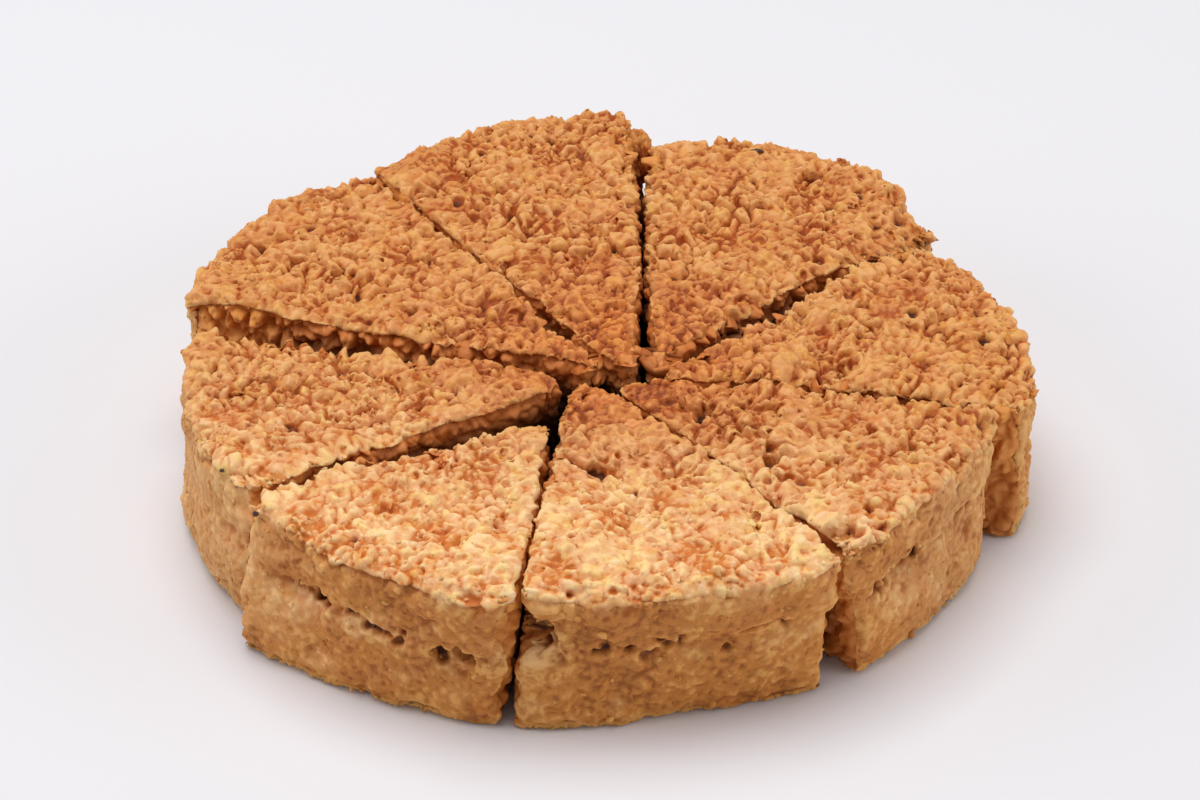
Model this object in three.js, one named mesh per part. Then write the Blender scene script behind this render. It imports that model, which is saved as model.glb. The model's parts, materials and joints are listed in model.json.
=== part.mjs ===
// A round milk cake cut into eight wedge slices that still stand together.
// Millimetres, +Z up, the cake's underside at z = 0. Bearings are in degrees,
// anticlockwise from +X as seen from above; -90 faces the front.
import * as THREE from 'three';
import { mergeVertices } from 'three/addons/utils/BufferGeometryUtils.js';

// Driving sizes of the cake.
const HEIGHT = 36;
const SIDE_STEPS = 22; // steps along a cut side, and rows of the top
const WALL_STEPS = 8; // steps up the wall, below the rounded edge
const SHOULDER = 2.4; // height over which the top edge rounds off
const EDGE_DROP = 0.6; // how far the very edge lies below the top
const RIM_ROUNDING = 2.0; // how far the top edge draws in at the rim
const CUT_ROUNDING = 0.25; // how far it draws in along a cut
const CORNER_ROUNDING = 0.9; // how far the upright corners draw in
const FOOT_ROUNDING = 0.7; // how far the foot draws in

// Crumbly relief: the size of each kind of lump and how deep it goes.
const CLUMP = { size: 13, depth: 0.9 };
const CRAG = { size: 5.2, depth: 1.9 };
const CUT_RELIEF = 0.25; // a cut face is cleaner than the top and the rim
const SEED = 4117;

// The seam between the two pourings, which shows round the rim.
const SEAM = { height: 21.5, wander: 2.2, waves: 3, turn: 0.6, halfHeight: 2.6, depth: 1.0 };

// The slices, anticlockwise from the back. tip is where the wedge starts, from
// the cake's middle, and blunt is the width broken off it. from and to are the
// corners at the rim: bearing, reach from the middle, how far the foot stands
// out from there and how many degrees it leans round, and how far the cut that
// ends there bows away from the slice.
// swell is the rim's bow beyond a line between its corners.
const SLICES = [
  {
    name: 'slice_back', tip: [7.6, -13.2], blunt: 3.8, height: HEIGHT + 1.8, swell: 2.8, colour: 0xc8814a,
    from: { bearing: 85.2, reach: 96, foot: -1.5, lean: 0, bow: 1.3 },
    to: { bearing: 126.8, reach: 86, foot: 2, lean: 0, bow: 1.2 },
  },
  {
    name: 'slice_back_left', tip: [2.2, -11.3], blunt: 2, height: HEIGHT + 1.2, swell: 4.2, colour: 0xc68145,
    from: { bearing: 127.5, reach: 86.5, foot: 2, lean: 0, bow: -1.2 },
    to: { bearing: 171.6, reach: 90.5, foot: 0.5, lean: 0, bow: 0.5 },
  },
  {
    name: 'slice_left', tip: [-6.6, -14.6], blunt: 7, height: HEIGHT - 0.4, swell: 1.6, colour: 0xd5935a,
    from: { bearing: 177.4, reach: 86.5, foot: 3.2, lean: 0, bow: 0 },
    to: { bearing: 216.4, reach: 88.5, foot: 0.4, lean: 0, bow: 0.5 },
  },
  {
    name: 'slice_front_left', tip: [-10, -29.5], blunt: 2.5, height: HEIGHT - 0.6, swell: -1.2,
    colour: 0xe6ae76,
    from: { bearing: 219.6, reach: 91, foot: 4, lean: 0, bow: 2.6 },
    to: { bearing: 260, reach: 92.5, foot: -3.2, lean: -2.3, bow: 0.6 },
  },
  {
    name: 'slice_front', tip: [-3.2, -14.6], blunt: 6, height: HEIGHT, swell: -2.2, colour: 0xe4a871,
    from: { bearing: 260.9, reach: 90.5, foot: -1.4, lean: -1.9, bow: 0 },
    to: { bearing: 302.2, reach: 92, foot: -4, lean: 0, bow: 1.6 },
  },
  {
    name: 'slice_front_right', tip: [4.2, -17], blunt: 2, height: HEIGHT, swell: -1, colour: 0xd5925b,
    from: { bearing: 303.9, reach: 90, foot: -0.4, lean: 2.3, bow: 0 },
    to: { bearing: 342, reach: 88.5, foot: 0.6, lean: -0.5, bow: 4 },
  },
  {
    name: 'slice_right', tip: [13.6, -13.8], blunt: 3, height: HEIGHT + 0.2, swell: 1.9, colour: 0xca864f,
    from: { bearing: 343.8, reach: 94.5, foot: 0.5, lean: 0, bow: -2.5 },
    to: { bearing: 388.8, reach: 85, foot: 2, lean: 0, bow: 1 },
  },
  {
    name: 'slice_back_right', tip: [12.2, -11.8], blunt: 1.2, height: HEIGHT, swell: 7.7, colour: 0xc7834b,
    from: { bearing: 390.2, reach: 92, foot: -1, lean: 0, bow: -5 },
    to: { bearing: 441.6, reach: 85, foot: 3, lean: 0, bow: 1.2 },
  },
];

// Pits (sink above 0) and swellings (sink below 0), as the cake shows them.
const MARKS = [
  { at: [48.8, -9.5, 36], reach: 4.2, sink: 2.2 },
  { at: [37.8, -40.9, 36], reach: 3.6, sink: 1.8 },
  { at: [22.8, -27.4, 36], reach: 3.8, sink: 1.8 },
  { at: [2.9, -47, 36], reach: 4.2, sink: 2.4 },
  { at: [7.5, -60.5, 36], reach: 3.4, sink: 1.3 },
  { at: [-4, -74, 36], reach: 9, sink: -1.0 },
  { at: [30, 11, 36], reach: 4, sink: 2.2 },
  { at: [39.9, 30.1, 36], reach: 4, sink: 1.3 },
  { at: [71, 47, 35], reach: 11, sink: 3.2 },
  { at: [60, 46, 36], reach: 4, sink: -1.2 },
  { at: [9, 90, 28], reach: 7, sink: -1.6 },
  { at: [-15.6, -86, 4], reach: 8, sink: -0.5 },
  { at: [-9.9, 5.9, 36], reach: 5, sink: 1.6 },
  { at: [-3.6, 30.1, 36], reach: 3.8, sink: 1.3 },
  { at: [-55.6, -70.1, 20.9], reach: 4.2, sink: 1.6 },
  { at: [-28.7, -84.8, 17.6], reach: 4.4, sink: 1.8 },
  { at: [-12.8, -88.6, 25.5], reach: 5.5, sink: 3.2 },
  { at: [63, -63.5, 21.8], reach: 4.4, sink: 2.0 },
  { at: [-75, -56, 16], reach: 13, sink: -2.8 },
  { at: [86, -32, 12], reach: 8, sink: 1.4 },
];

// A repeatable number from 0 to 1 for each point of a whole-number lattice.
function hash(x, y, z, salt) {
  let h = Math.imul(x, 374761393) ^ Math.imul(y, 668265263) ^ Math.imul(z, 2147483647);
  h = Math.imul(h ^ Math.imul(salt + SEED, 1274126177), 2654435761);
  h = Math.imul(h ^ (h >>> 15), 2246822519);
  return ((h ^ (h >>> 13)) >>> 0) / 4294967296;
}

// Soft lumps from 0 to 1, size millimetres apart.
function softLumps(point, size) {
  const cell = point.clone().divideScalar(size);
  const base = cell.clone().floor();
  const part = cell.sub(base);
  const ease = (t) => t * t * (3 - 2 * t);
  const weight = [ease(part.x), ease(part.y), ease(part.z)];
  let total = 0;
  for (let corner = 0; corner < 8; corner += 1) {
    const step = [corner & 1, (corner >> 1) & 1, corner >> 2];
    const share = step.reduce((product, on, axis) => product * (on ? weight[axis] : 1 - weight[axis]), 1);
    total += share * hash(base.x + step[0], base.y + step[1], base.z + step[2], 1);
  }
  return total;
}

// Round crags from 0 in a crevice to 1 on a crown, each about size across.
function crags(point, size) {
  const cell = point.clone().divideScalar(size);
  const base = cell.clone().floor();
  let nearest = Infinity;
  for (let step = 0; step < 27; step += 1) {
    const x = base.x + (step % 3) - 1;
    const y = base.y + (Math.floor(step / 3) % 3) - 1;
    const z = base.z + Math.floor(step / 9) - 1;
    const crown = new THREE.Vector3(x + hash(x, y, z, 2), y + hash(x, y, z, 3), z + hash(x, y, z, 4));
    nearest = Math.min(nearest, crown.distanceTo(cell));
  }
  return Math.max(0, 1 - nearest * nearest);
}

// How far the pits and swellings push the surface in at a point.
function marksSink(point) {
  return MARKS.reduce((sum, mark) => {
    const distance = point.distanceTo(new THREE.Vector3(...mark.at));
    return sum + mark.sink * Math.exp(-((distance / mark.reach) ** 2));
  }, 0);
}

// How far the seam draws the rim in at a point.
function seamSink(point) {
  const bearing = Math.atan2(point.y, point.x);
  const height = SEAM.height + SEAM.wander * Math.sin(SEAM.waves * bearing + SEAM.turn);
  return SEAM.depth * Math.exp(-(((point.z - height) / SEAM.halfHeight) ** 2));
}

const smooth = (t) => t * t * (3 - 2 * t);

const onRound = (bearing, reach) => {
  const angle = THREE.MathUtils.degToRad(bearing);
  return new THREE.Vector2(reach * Math.cos(angle), reach * Math.sin(angle));
};

// The rim's point at a share across the slice, and at a share of its height.
function rimAt(slice, across, share) {
  const between = (size) => THREE.MathUtils.lerp(slice.from[size], slice.to[size], across);
  const low = smooth(1 - share);
  const swell = slice.swell * Math.sin(Math.PI * across);
  const reach = between('reach') + between('foot') * low + swell;
  return onRound(between('bearing') + between('lean') * low, reach);
}

// A point of the slice in plan: across from one cut to the other, and out from
// the tip to the rim.
function planPoint(slice, across, out, share) {
  const ends = rimAt(slice, 1, share).sub(rimAt(slice, 0, share)).normalize();
  const tip = new THREE.Vector2(...slice.tip).addScaledVector(ends, (across - 0.5) * slice.blunt);
  const halfway = 4 * out * (1 - out); // 1 midway between the tip and the rim, 0 at both
  const bow = THREE.MathUtils.lerp(-slice.from.bow, slice.to.bow, across) * halfway;
  return tip.lerp(rimAt(slice, across, share), out).addScaledVector(ends, bow);
}

// The stations round a slice: along one cut, round the rim, back along the
// other cut. row and place number the same points in the top's lattice.
function outlineStations() {
  const stations = [{ row: 0, place: 0, part: 'tip' }];
  for (let row = 1; row < SIDE_STEPS; row += 1) stations.push({ row, place: 0, part: 'fromCut' });
  for (let place = 0; place <= SIDE_STEPS; place += 1) stations.push({ row: SIDE_STEPS, place, part: 'rim' });
  for (let row = SIDE_STEPS - 1; row > 0; row -= 1) stations.push({ row, place: row, part: 'toCut' });
  return stations;
}

const STATIONS = outlineStations();

const latticePoint = (slice, row, place, share) =>
  planPoint(slice, row === 0 ? 0.5 : place / row, row / SIDE_STEPS, share);

// The outward direction in plan at each station of a slice's outline.
function outlineNormals(slice) {
  const outline = STATIONS.map((station) => latticePoint(slice, station.row, station.place, 1));
  const count = outline.length;
  return outline.map((_, index) => {
    const along = outline[(index + 1) % count].clone().sub(outline[(index + count - 1) % count]);
    return new THREE.Vector2(along.y, -along.x).normalize();
  });
}

// How far the crumbly relief pushes a wall point in. On a cut it only goes
// inwards, so that neighbouring slices stay apart; the rim also swells out.
function wallSink(point, part) {
  const soft = softLumps(point, CLUMP.size);
  const crag = 1 - crags(point, CRAG.size);
  if (part === 'rim') {
    return (soft - 0.5) * 2 * CLUMP.depth + (crag - 0.5) * CRAG.depth + seamSink(point) + marksSink(point);
  }
  return CUT_RELIEF * (soft * CLUMP.depth + crag * CRAG.depth) + marksSink(point);
}

// One ring of points round the wall, at a share of the way up to the brim,
// which is the uneven edge of the top.
function wallRing(slice, normals, brim, share, drawnIn) {
  return STATIONS.map((station, index) => {
    const plan = latticePoint(slice, station.row, station.place, share);
    const height = (brim[index].z + EDGE_DROP - SHOULDER) * share;
    const point = new THREE.Vector3(plan.x, plan.y, height);
    const corner = station.part === 'rim' && station.place % SIDE_STEPS === 0;
    const sink = wallSink(point, station.part) + drawnIn + (corner ? CORNER_ROUNDING : 0);
    return point.addScaledVector(new THREE.Vector3(normals[index].x, normals[index].y, 0), -sink);
  });
}

// The lattice of the top, row by row from the tip to the rim, with its border
// drawn in and down to round the edge.
function topLattice(slice, normals) {
  const border = new Map(STATIONS.map((station, index) => [`${station.row},${station.place}`, index]));
  const rows = [];
  for (let row = 0; row <= SIDE_STEPS; row += 1) {
    const points = [];
    for (let place = 0; place <= row; place += 1) {
      const plan = latticePoint(slice, row, place, 1);
      const point = new THREE.Vector3(plan.x, plan.y, HEIGHT);
      const relief = (softLumps(point, CLUMP.size) - 0.5) * 2 * CLUMP.depth
        + (crags(point, CRAG.size) - 0.5) * CRAG.depth - marksSink(point);
      point.z = slice.height + relief;
      const index = border.get(`${row},${place}`);
      if (index !== undefined) {
        const drawnIn = row === SIDE_STEPS ? RIM_ROUNDING : CUT_ROUNDING;
        point.add(new THREE.Vector3(normals[index].x, normals[index].y, 0).multiplyScalar(-drawnIn));
        point.z -= EDGE_DROP;
      }
      points.push(point);
    }
    rows.push(points);
  }
  return rows;
}

// The faces between two rings with the same number of points.
function bandFaces(lower, upper, faces) {
  lower.forEach((_, index) => {
    const next = (index + 1) % lower.length;
    faces.push([lower[index], lower[next], upper[next]], [lower[index], upper[next], upper[index]]);
  });
}

function latticeFaces(rows, faces) {
  for (let row = 0; row < rows.length - 1; row += 1) {
    for (let place = 0; place <= row; place += 1) {
      faces.push([rows[row][place], rows[row + 1][place], rows[row + 1][place + 1]]);
      if (place < row) faces.push([rows[row][place], rows[row + 1][place + 1], rows[row][place + 1]]);
    }
  }
}

// The flat underside, so that the slice stands as it was turned out.
function undersideFaces(ring, faces) {
  const contour = ring.map((point) => new THREE.Vector2(point.x, point.y));
  THREE.ShapeUtils.triangulateShape(contour, []).forEach(([a, b, c]) => {
    faces.push([ring[a], ring[c], ring[b]]);
  });
}

function sliceGeometry(slice) {
  const normals = outlineNormals(slice);
  const rows = topLattice(slice, normals);
  const brim = STATIONS.map((station) => rows[station.row][station.place]);
  const rings = [];
  for (let step = 0; step <= WALL_STEPS; step += 1) {
    rings.push(wallRing(slice, normals, brim, step / WALL_STEPS, step === 0 ? FOOT_ROUNDING : 0));
  }
  rings.push(brim);

  const faces = [];
  undersideFaces(rings[0], faces);
  for (let step = 0; step < rings.length - 1; step += 1) bandFaces(rings[step], rings[step + 1], faces);
  latticeFaces(rows, faces);

  const positions = faces.flat().flatMap((point) => [point.x, point.y, point.z]);
  const geometry = new THREE.BufferGeometry();
  geometry.setAttribute('position', new THREE.Float32BufferAttribute(positions, 3));
  const merged = mergeVertices(geometry);
  merged.computeVertexNormals();
  return merged;
}

function sliceMesh(slice) {
  const material = new THREE.MeshStandardMaterial({ color: slice.colour, roughness: 0.85, metalness: 0 });
  const mesh = new THREE.Mesh(sliceGeometry(slice), material);
  mesh.name = slice.name;
  return mesh;
}

const milkCake = new THREE.Group();
SLICES.forEach((slice) => milkCake.add(sliceMesh(slice)));

// The frame's origin is under the middle of the cake's bounding box.
const box = new THREE.Box3().setFromObject(milkCake);
const middle = box.getCenter(new THREE.Vector3());
milkCake.children.forEach((mesh) => mesh.position.set(-middle.x, -middle.y, -box.min.z));

export default milkCake;
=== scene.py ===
"""A round milk cake, cut into wedge slices that still stand together.

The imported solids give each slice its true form. Here every slice gets its skin of set milk
grains, packed over that form and fused into one closed mesh, then its cracks, pits and colours.
"""

import itertools
import json
import logging
import math
from collections import defaultdict
from dataclasses import astuple, dataclass, field, replace
from enum import IntEnum

import bmesh
import bpy
import numpy as np
from mathutils import Matrix, Vector, kdtree, noise
from mathutils.bvhtree import BVHTree

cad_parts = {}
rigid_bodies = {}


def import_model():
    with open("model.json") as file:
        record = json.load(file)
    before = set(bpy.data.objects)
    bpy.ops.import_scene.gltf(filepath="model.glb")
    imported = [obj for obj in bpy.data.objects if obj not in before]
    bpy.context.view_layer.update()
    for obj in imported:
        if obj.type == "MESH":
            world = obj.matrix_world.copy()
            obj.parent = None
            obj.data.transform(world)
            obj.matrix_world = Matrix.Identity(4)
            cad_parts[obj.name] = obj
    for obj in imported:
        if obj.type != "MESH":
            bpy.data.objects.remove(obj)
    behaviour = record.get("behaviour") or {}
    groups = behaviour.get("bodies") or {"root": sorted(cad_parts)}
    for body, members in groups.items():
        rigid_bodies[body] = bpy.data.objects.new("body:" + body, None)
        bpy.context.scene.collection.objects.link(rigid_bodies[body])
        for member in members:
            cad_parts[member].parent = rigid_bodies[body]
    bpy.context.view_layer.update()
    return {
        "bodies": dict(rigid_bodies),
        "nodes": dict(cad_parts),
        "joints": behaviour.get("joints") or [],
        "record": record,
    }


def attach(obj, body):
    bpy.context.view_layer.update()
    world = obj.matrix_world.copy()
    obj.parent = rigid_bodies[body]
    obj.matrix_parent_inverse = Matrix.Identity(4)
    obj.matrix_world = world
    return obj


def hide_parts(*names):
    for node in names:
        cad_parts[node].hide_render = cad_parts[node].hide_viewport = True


MM = 0.001
# The middle of the round in the frame, whose origin is under the bounding box's middle.
MIDDLE = Vector((-1.98 * MM, -2.94 * MM, 0.0))

log = logging.getLogger("milk_cake")


class Zone(IntEnum):
    """The kinds of surface that a slice has."""

    TOP = 0
    RIM = 1
    CUT = 2
    FOOT = 3


def linear(red: float, green: float, blue: float) -> tuple[float, float, float, float]:
    """Turns a screen colour into the linear colour that a shader takes.

    Args:
        red: Red, 0 to 255.
        green: Green, 0 to 255.
        blue: Blue, 0 to 255.

    Returns:
        The linear colour with full alpha.
    """
    parts = [value / 255 for value in (red, green, blue)]
    bent = [v / 12.92 if v <= 0.04045 else ((v + 0.055) / 1.055) ** 2.4 for v in parts]
    return (*bent, 1.0)


def ramp(values: np.ndarray, start: float, full: float) -> np.ndarray:
    """Goes from 0 where values are start to 1 where they are full, and no further."""
    return np.clip((values - start) / (full - start), 0, 1)


def added(name: str, data: bpy.types.ID) -> bpy.types.Object:
    """Makes an object of a mesh, a lamp or a camera and puts it into the scene."""
    made = bpy.data.objects.new(name, data)
    bpy.context.collection.objects.link(made)
    return made


def finished(name: str, rough: bmesh.types.BMesh) -> bpy.types.Mesh:
    """Turns a mesh under work into a finished one, and frees it."""
    mesh = bpy.data.meshes.new(name)
    rough.to_mesh(mesh)
    rough.free()
    return mesh


def new_material(name: str) -> tuple[bpy.types.Material, bpy.types.Node]:
    """Makes a material and gives it together with its shader."""
    made = bpy.data.materials.new(name)
    made.use_nodes = True
    return made, made.node_tree.nodes["Principled BSDF"]


def arrays_of(mesh: bmesh.types.BMesh) -> tuple[np.ndarray, np.ndarray]:
    """Reads the points and the triangles of a mesh under work."""
    points = np.array([vert.co[:] for vert in mesh.verts])
    return points, np.array([[vert.index for vert in face.verts] for face in mesh.faces])


def tree_of(points: np.ndarray) -> kdtree.KDTree:
    """Sorts points into a tree, to find near ones fast."""
    tree = kdtree.KDTree(len(points))
    for index, point in enumerate(points):
        tree.insert(point, index)
    tree.balance()
    return tree


@dataclass
class Shell:
    """A closed mesh as arrays, for work on all its points at once."""

    points: np.ndarray
    edges: np.ndarray
    normals: np.ndarray

    @classmethod
    def of(cls, mesh: bpy.types.Mesh) -> "Shell":
        """Reads a mesh's points, edges and normals.

        Args:
            mesh: The mesh to read.

        Returns:
            The arrays of the mesh.
        """
        points = np.empty(len(mesh.vertices) * 3)
        mesh.vertices.foreach_get("co", points)
        edges = np.empty(len(mesh.edges) * 2, dtype=np.int64)
        mesh.edges.foreach_get("vertices", edges)
        normals = np.empty(len(mesh.vertices) * 3)
        mesh.vertices.foreach_get("normal", normals)
        return cls(points.reshape(-1, 3), edges.reshape(-1, 2), normals.reshape(-1, 3))

    @property
    def flat(self) -> np.ndarray:
        """Gives the points in millimetres from the cake's middle."""
        return (self.points - np.array(MIDDLE)) / MM

    def spread(self, values: np.ndarray) -> np.ndarray:
        """Gives each point the mean of its neighbours' values.

        Args:
            values: One row of numbers for each point.

        Returns:
            The means, in the same shape.
        """
        count = len(self.points)
        first, second = self.edges.T
        shares = np.bincount(first, minlength=count) + np.bincount(second, minlength=count)
        means = np.empty_like(values)
        for axis in range(values.shape[1]):
            column = values[:, axis]
            total = np.bincount(first, column[second], count) + np.bincount(second, column[first], count)
            means[:, axis] = total / shares
        return means

    def smoothed(self, values: np.ndarray, rounds: int, share: float = 1.0) -> np.ndarray:
        """Smooths values over the surface.

        Args:
            values: One row of numbers for each point.
            rounds: How often each point takes on its neighbours' mean.
            share: How much of the mean it takes each time.

        Returns:
            The smoothed values.
        """
        for _ in range(rounds):
            values = values + (self.spread(values) - values) * share
        return values

    def evened(self, values: np.ndarray, rounds: int) -> np.ndarray:
        """Smooths one number for each point over the surface."""
        return self.smoothed(values[:, None], rounds)[:, 0]

    def pieces(self) -> np.ndarray:
        """Numbers the connected pieces: points of one piece share a number."""
        labels = np.arange(len(self.points))
        first, second = self.edges.T
        while True:
            low = np.minimum(labels[first], labels[second])
            lower = labels.copy()
            np.minimum.at(lower, first, low)
            np.minimum.at(lower, second, low)
            lower = lower[lower]
            if np.array_equal(lower, labels):
                return labels
            labels = lower


@dataclass(frozen=True)
class Lumps:
    """Repeatable lumps through space, size millimetres apart."""

    size: float
    salt: int = 0

    def chance(self, cells: np.ndarray, channel: int) -> np.ndarray:
        """Gives each cell of a lattice its own number from 0 to 1.

        Args:
            cells: Whole-number places of the cells, one row each.
            channel: Which of a cell's numbers to give.

        Returns:
            One number for each row.
        """
        x, y, z = cells.astype(np.uint64).T
        mixed = x * np.uint64(0x9E3779B97F4A7C15)
        mixed ^= y * np.uint64(0xC2B2AE3D27D4EB4F)
        mixed ^= z * np.uint64(0x165667B19E3779F9)
        mixed ^= np.uint64((self.salt * 64 + channel + 1) * 0x27D4EB2F165667C5 & 0xFFFFFFFFFFFFFFFF)
        mixed ^= mixed >> np.uint64(31)
        mixed *= np.uint64(0xBF58476D1CE4E5B9)
        mixed ^= mixed >> np.uint64(29)
        return (mixed >> np.uint64(40)).astype(float) / (1 << 24)

    def wave(self, places: np.ndarray) -> np.ndarray:
        """Gives a smooth value from -0.5 to 0.5 at each place, in metres."""
        return self.soft(places) - 0.5

    def soft(self, places: np.ndarray) -> np.ndarray:
        """Gives a smooth value from 0 to 1 at each place.

        Args:
            places: The places in metres, one row each.

        Returns:
            One value for each place.
        """
        cell = places / (self.size * MM)
        base = np.floor(cell).astype(np.int64)
        part = cell - base
        part = part * part * (3 - 2 * part)
        total = np.zeros(len(places))
        for corner in itertools.product((0, 1), repeat=3):
            share = np.where(corner, part, 1 - part).prod(axis=1)
            total += share * self.chance(base + np.array(corner), 0)
        return total

    def clumps(self, places: np.ndarray) -> tuple[np.ndarray, np.ndarray]:
        """Splits space into clumps with crevices between them.

        Args:
            places: The places in metres, one row each.

        Returns:
            How far each place lies from its clump's crevice, in millimetres, and the clump's own
            number from 0 to 1.
        """
        bend = Lumps(self.size * 0.8, self.salt + 7).wave(places)
        bent = places + bend[:, None] * self.size * 0.5 * MM
        cell = bent / (self.size * MM)
        base = np.floor(cell).astype(np.int64)
        near = np.full(len(places), 9.0)
        far = near.copy()
        own = np.zeros(len(places))
        for step in itertools.product((-1, 0, 1), repeat=3):
            home = base + np.array(step)
            crown = home + np.stack([self.chance(home, axis) for axis in (1, 2, 3)], axis=1)
            distance = np.linalg.norm(crown - cell, axis=1)
            closer = distance < near
            far = np.where(closer, near, np.minimum(far, distance))
            own = np.where(closer, self.chance(home, 4), own)
            near = np.where(closer, distance, near)
        return (far - near) / 2 * self.size, own


@dataclass(frozen=True)
class Relief:
    """The layers of the crumbly relief, the broadest first. Lengths are in millimetres.

    A height named craggy comes on top of the plain one, in full where the cake is craggiest. The
    knobs lie on the cut faces: inner_knobs is their share there between the slices, which grows
    to 1 over the two distances of at_rim.
    """

    hills: Lumps = Lumps(9.0, 8)
    craggy_hill: float = 1.4
    knolls: Lumps = Lumps(4.3, 10)
    knoll: float = 0.3
    craggy_knoll: float = 0.9
    clods: Lumps = Lumps(4.4, 2)
    craggy_clod: float = 0.9
    cleft: float = 1.7
    cleft_width: float = 0.8
    crumbs: Lumps = Lumps(2.0, 18)
    crumb: float = 0.18
    craggy_crumb: float = 0.22
    chink: float = 0.12
    craggy_chink: float = 0.32
    chink_width: float = 0.4
    veins: Lumps = Lumps(3.4, 18)
    vein: float = 0.05
    craggy_vein: float = 0.5
    vein_width: float = 0.09
    granules: Lumps = Lumps(1.6, 5)
    granule: float = 0.4
    granule_on_top: float = 0.1
    grit: Lumps = Lumps(0.95, 11)
    grit_height: float = 0.26
    breaks: Lumps = Lumps(8.0, 3)
    knobs: Lumps = Lumps(3.1, 16)
    knob: float = 1.2
    knob_level: float = 0.55
    knob_cleft: float = 0.7
    knob_cleft_width: float = 0.9
    inner_knobs: float = 0.7
    at_rim: tuple[float, float] = (70.0, 78.0)
    nicks: Lumps = Lumps(3.4, 6)
    bays: Lumps = Lumps(8.0, 12)
    edge: float = 0.05
    ragged_edge: float = 1.4

    def everywhere(self, points: np.ndarray, craggy: np.ndarray,
                   up: np.ndarray) -> tuple[np.ndarray, np.ndarray]:
        """Adds up the layers that the whole skin has.

        Args:
            points: The skin's points in metres.
            craggy: How craggy each point is, 0 to 1.
            up: 1 on the top, 0 on the walls.

        Returns:
            The rises, and how far each point lies from the clefts between clods.
        """
        broken = np.clip(3.0 * self.breaks.soft(points) - 0.9, 0.15, 1)
        rise = self.craggy_hill * craggy * up * self.hills.wave(points)
        rise += (self.knoll + self.craggy_knoll * craggy * up) * self.knolls.wave(points)
        inset, own = self.clods.clumps(points)
        rise -= self.cleft * craggy * broken * np.clip(1 - inset / self.cleft_width, 0, 1)
        rise += self.craggy_clod * craggy * up * (own - 0.5)
        apart, own = self.crumbs.clumps(points)
        chink = (self.chink + self.craggy_chink * craggy) * np.clip(1.6 * broken, 0.4, 1)
        rise -= chink * np.clip(1 - apart / self.chink_width, 0, 1)
        rise += (self.crumb + self.craggy_crumb * craggy) * (own - 0.5)
        groove = np.clip(1 - np.abs(self.veins.wave(points)) / self.vein_width, 0, 1)
        rise -= groove * (self.vein + self.craggy_vein * craggy) * np.clip(1.6 * broken, 0.3, 1)
        rise += (self.granule + self.granule_on_top * up) * self.granules.wave(points)
        return rise + self.grit_height * self.grit.wave(points), inset

    def on_cuts(self, shell: Shell, inset: np.ndarray) -> np.ndarray:
        """Works out the knobs and clefts of the cut faces.

        Args:
            shell: The skin.
            inset: How far each point lies from the clefts between clods.

        Returns:
            How far they raise each point that lies on a cut face.
        """
        cleft = self.knob_cleft * np.clip(1 - inset / self.knob_cleft_width, 0, 1)
        out = ramp(np.hypot(*shell.flat[:, :2].T), *self.at_rim)
        share = self.inner_knobs + (1 - self.inner_knobs) * out
        return share * (self.knob * (self.knobs.soft(shell.points) - self.knob_level) - cleft)

    def on_edges(self, points: np.ndarray) -> np.ndarray:
        """Works out how far the ragged edges of the top stand out."""
        ragged = 0.55 * self.nicks.soft(points) + 0.45 * self.bays.soft(points)
        return self.edge + self.ragged_edge * (ragged - 0.5)


@dataclass(frozen=True)
class Wear:
    """How the edges of a slice are worn off. Lengths are in millimetres.

    Upright edges crumble unevenly, and the edges of the top are rounded a little.
    """

    crumble: float = 1.0
    broad_bite: float = 7.0
    fine_bite: float = 5.0
    broad: Lumps = Lumps(4.6, 20)
    fine: Lumps = Lumps(2.5, 21)
    rounding: float = 1.2
    uneven_rounding: float = 2.6
    bumps: Lumps = Lumps(5.0, 22)

    def losses(self, points: np.ndarray, outward: np.ndarray) -> np.ndarray:
        """Works out what the sharpest edge would lose at each point.

        Args:
            points: The points in metres.
            outward: The way out at each point.

        Returns:
            The losses.
        """
        crumbled = self.crumble + self.broad_bite * np.clip(1.6 * self.broad.soft(points) - 0.3, 0, 1)
        crumbled += self.fine_bite * np.clip(2.0 * self.fine.soft(points) - 0.6, 0, 1)
        upright = np.clip(1.3 - 2.4 * np.abs(outward[:, 2]), 0, 1)
        rounded = (self.rounding + self.uneven_rounding * self.bumps.soft(points)) * (outward[:, 2] > 0)
        return crumbled * upright + rounded * (1 - upright)


@dataclass(frozen=True)
class Growth:
    """How crumbs grow sideways into a gap between two slices. Lengths are in millimetres.

    reach is how far away a neighbour still matters. Crumbs stop where a gap is wider by still_grows
    than what its two sides can fill, and grow less over the last fade before that. Each pair says
    where something starts and where it is full: growth upwards from the foot and outwards from the
    tip, and the change from the inner end of a gap to the outer one.
    """

    reach: float = 9.0
    fade: float = 3.0
    still_grows: float = 4.0
    up: tuple[float, float] = (5.0, 14.0)
    out: tuple[float, float] = (16.0, 28.0)
    outer: tuple[float, float] = (50.0, 68.0)
    broad: Lumps = Lumps(3.6, 14)
    fine: Lumps = Lumps(1.5, 13)

    def share(self, shell: Shell, across: np.ndarray, most: np.ndarray) -> np.ndarray:
        """Tells how much of its growth each point gets.

        Args:
            shell: The slice's skin.
            across: How far off each point's neighbour is, in metres.
            most: The most that crumbs grow out there, in metres.

        Returns:
            The shares, from 0 to 1.
        """
        crumbs = 0.6 * self.broad.soft(shell.points) + 0.4 * self.fine.soft(shell.points)
        near = np.clip((2 * most + self.still_grows * MM - across) / (self.fade * MM), 0, 1)
        near *= ramp(shell.flat[:, 2], *self.up) * ramp(np.hypot(*shell.flat[:, :2].T), *self.out)
        return near * np.clip(1.5 * crumbs + 0.1, 0.45, 1)


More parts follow.
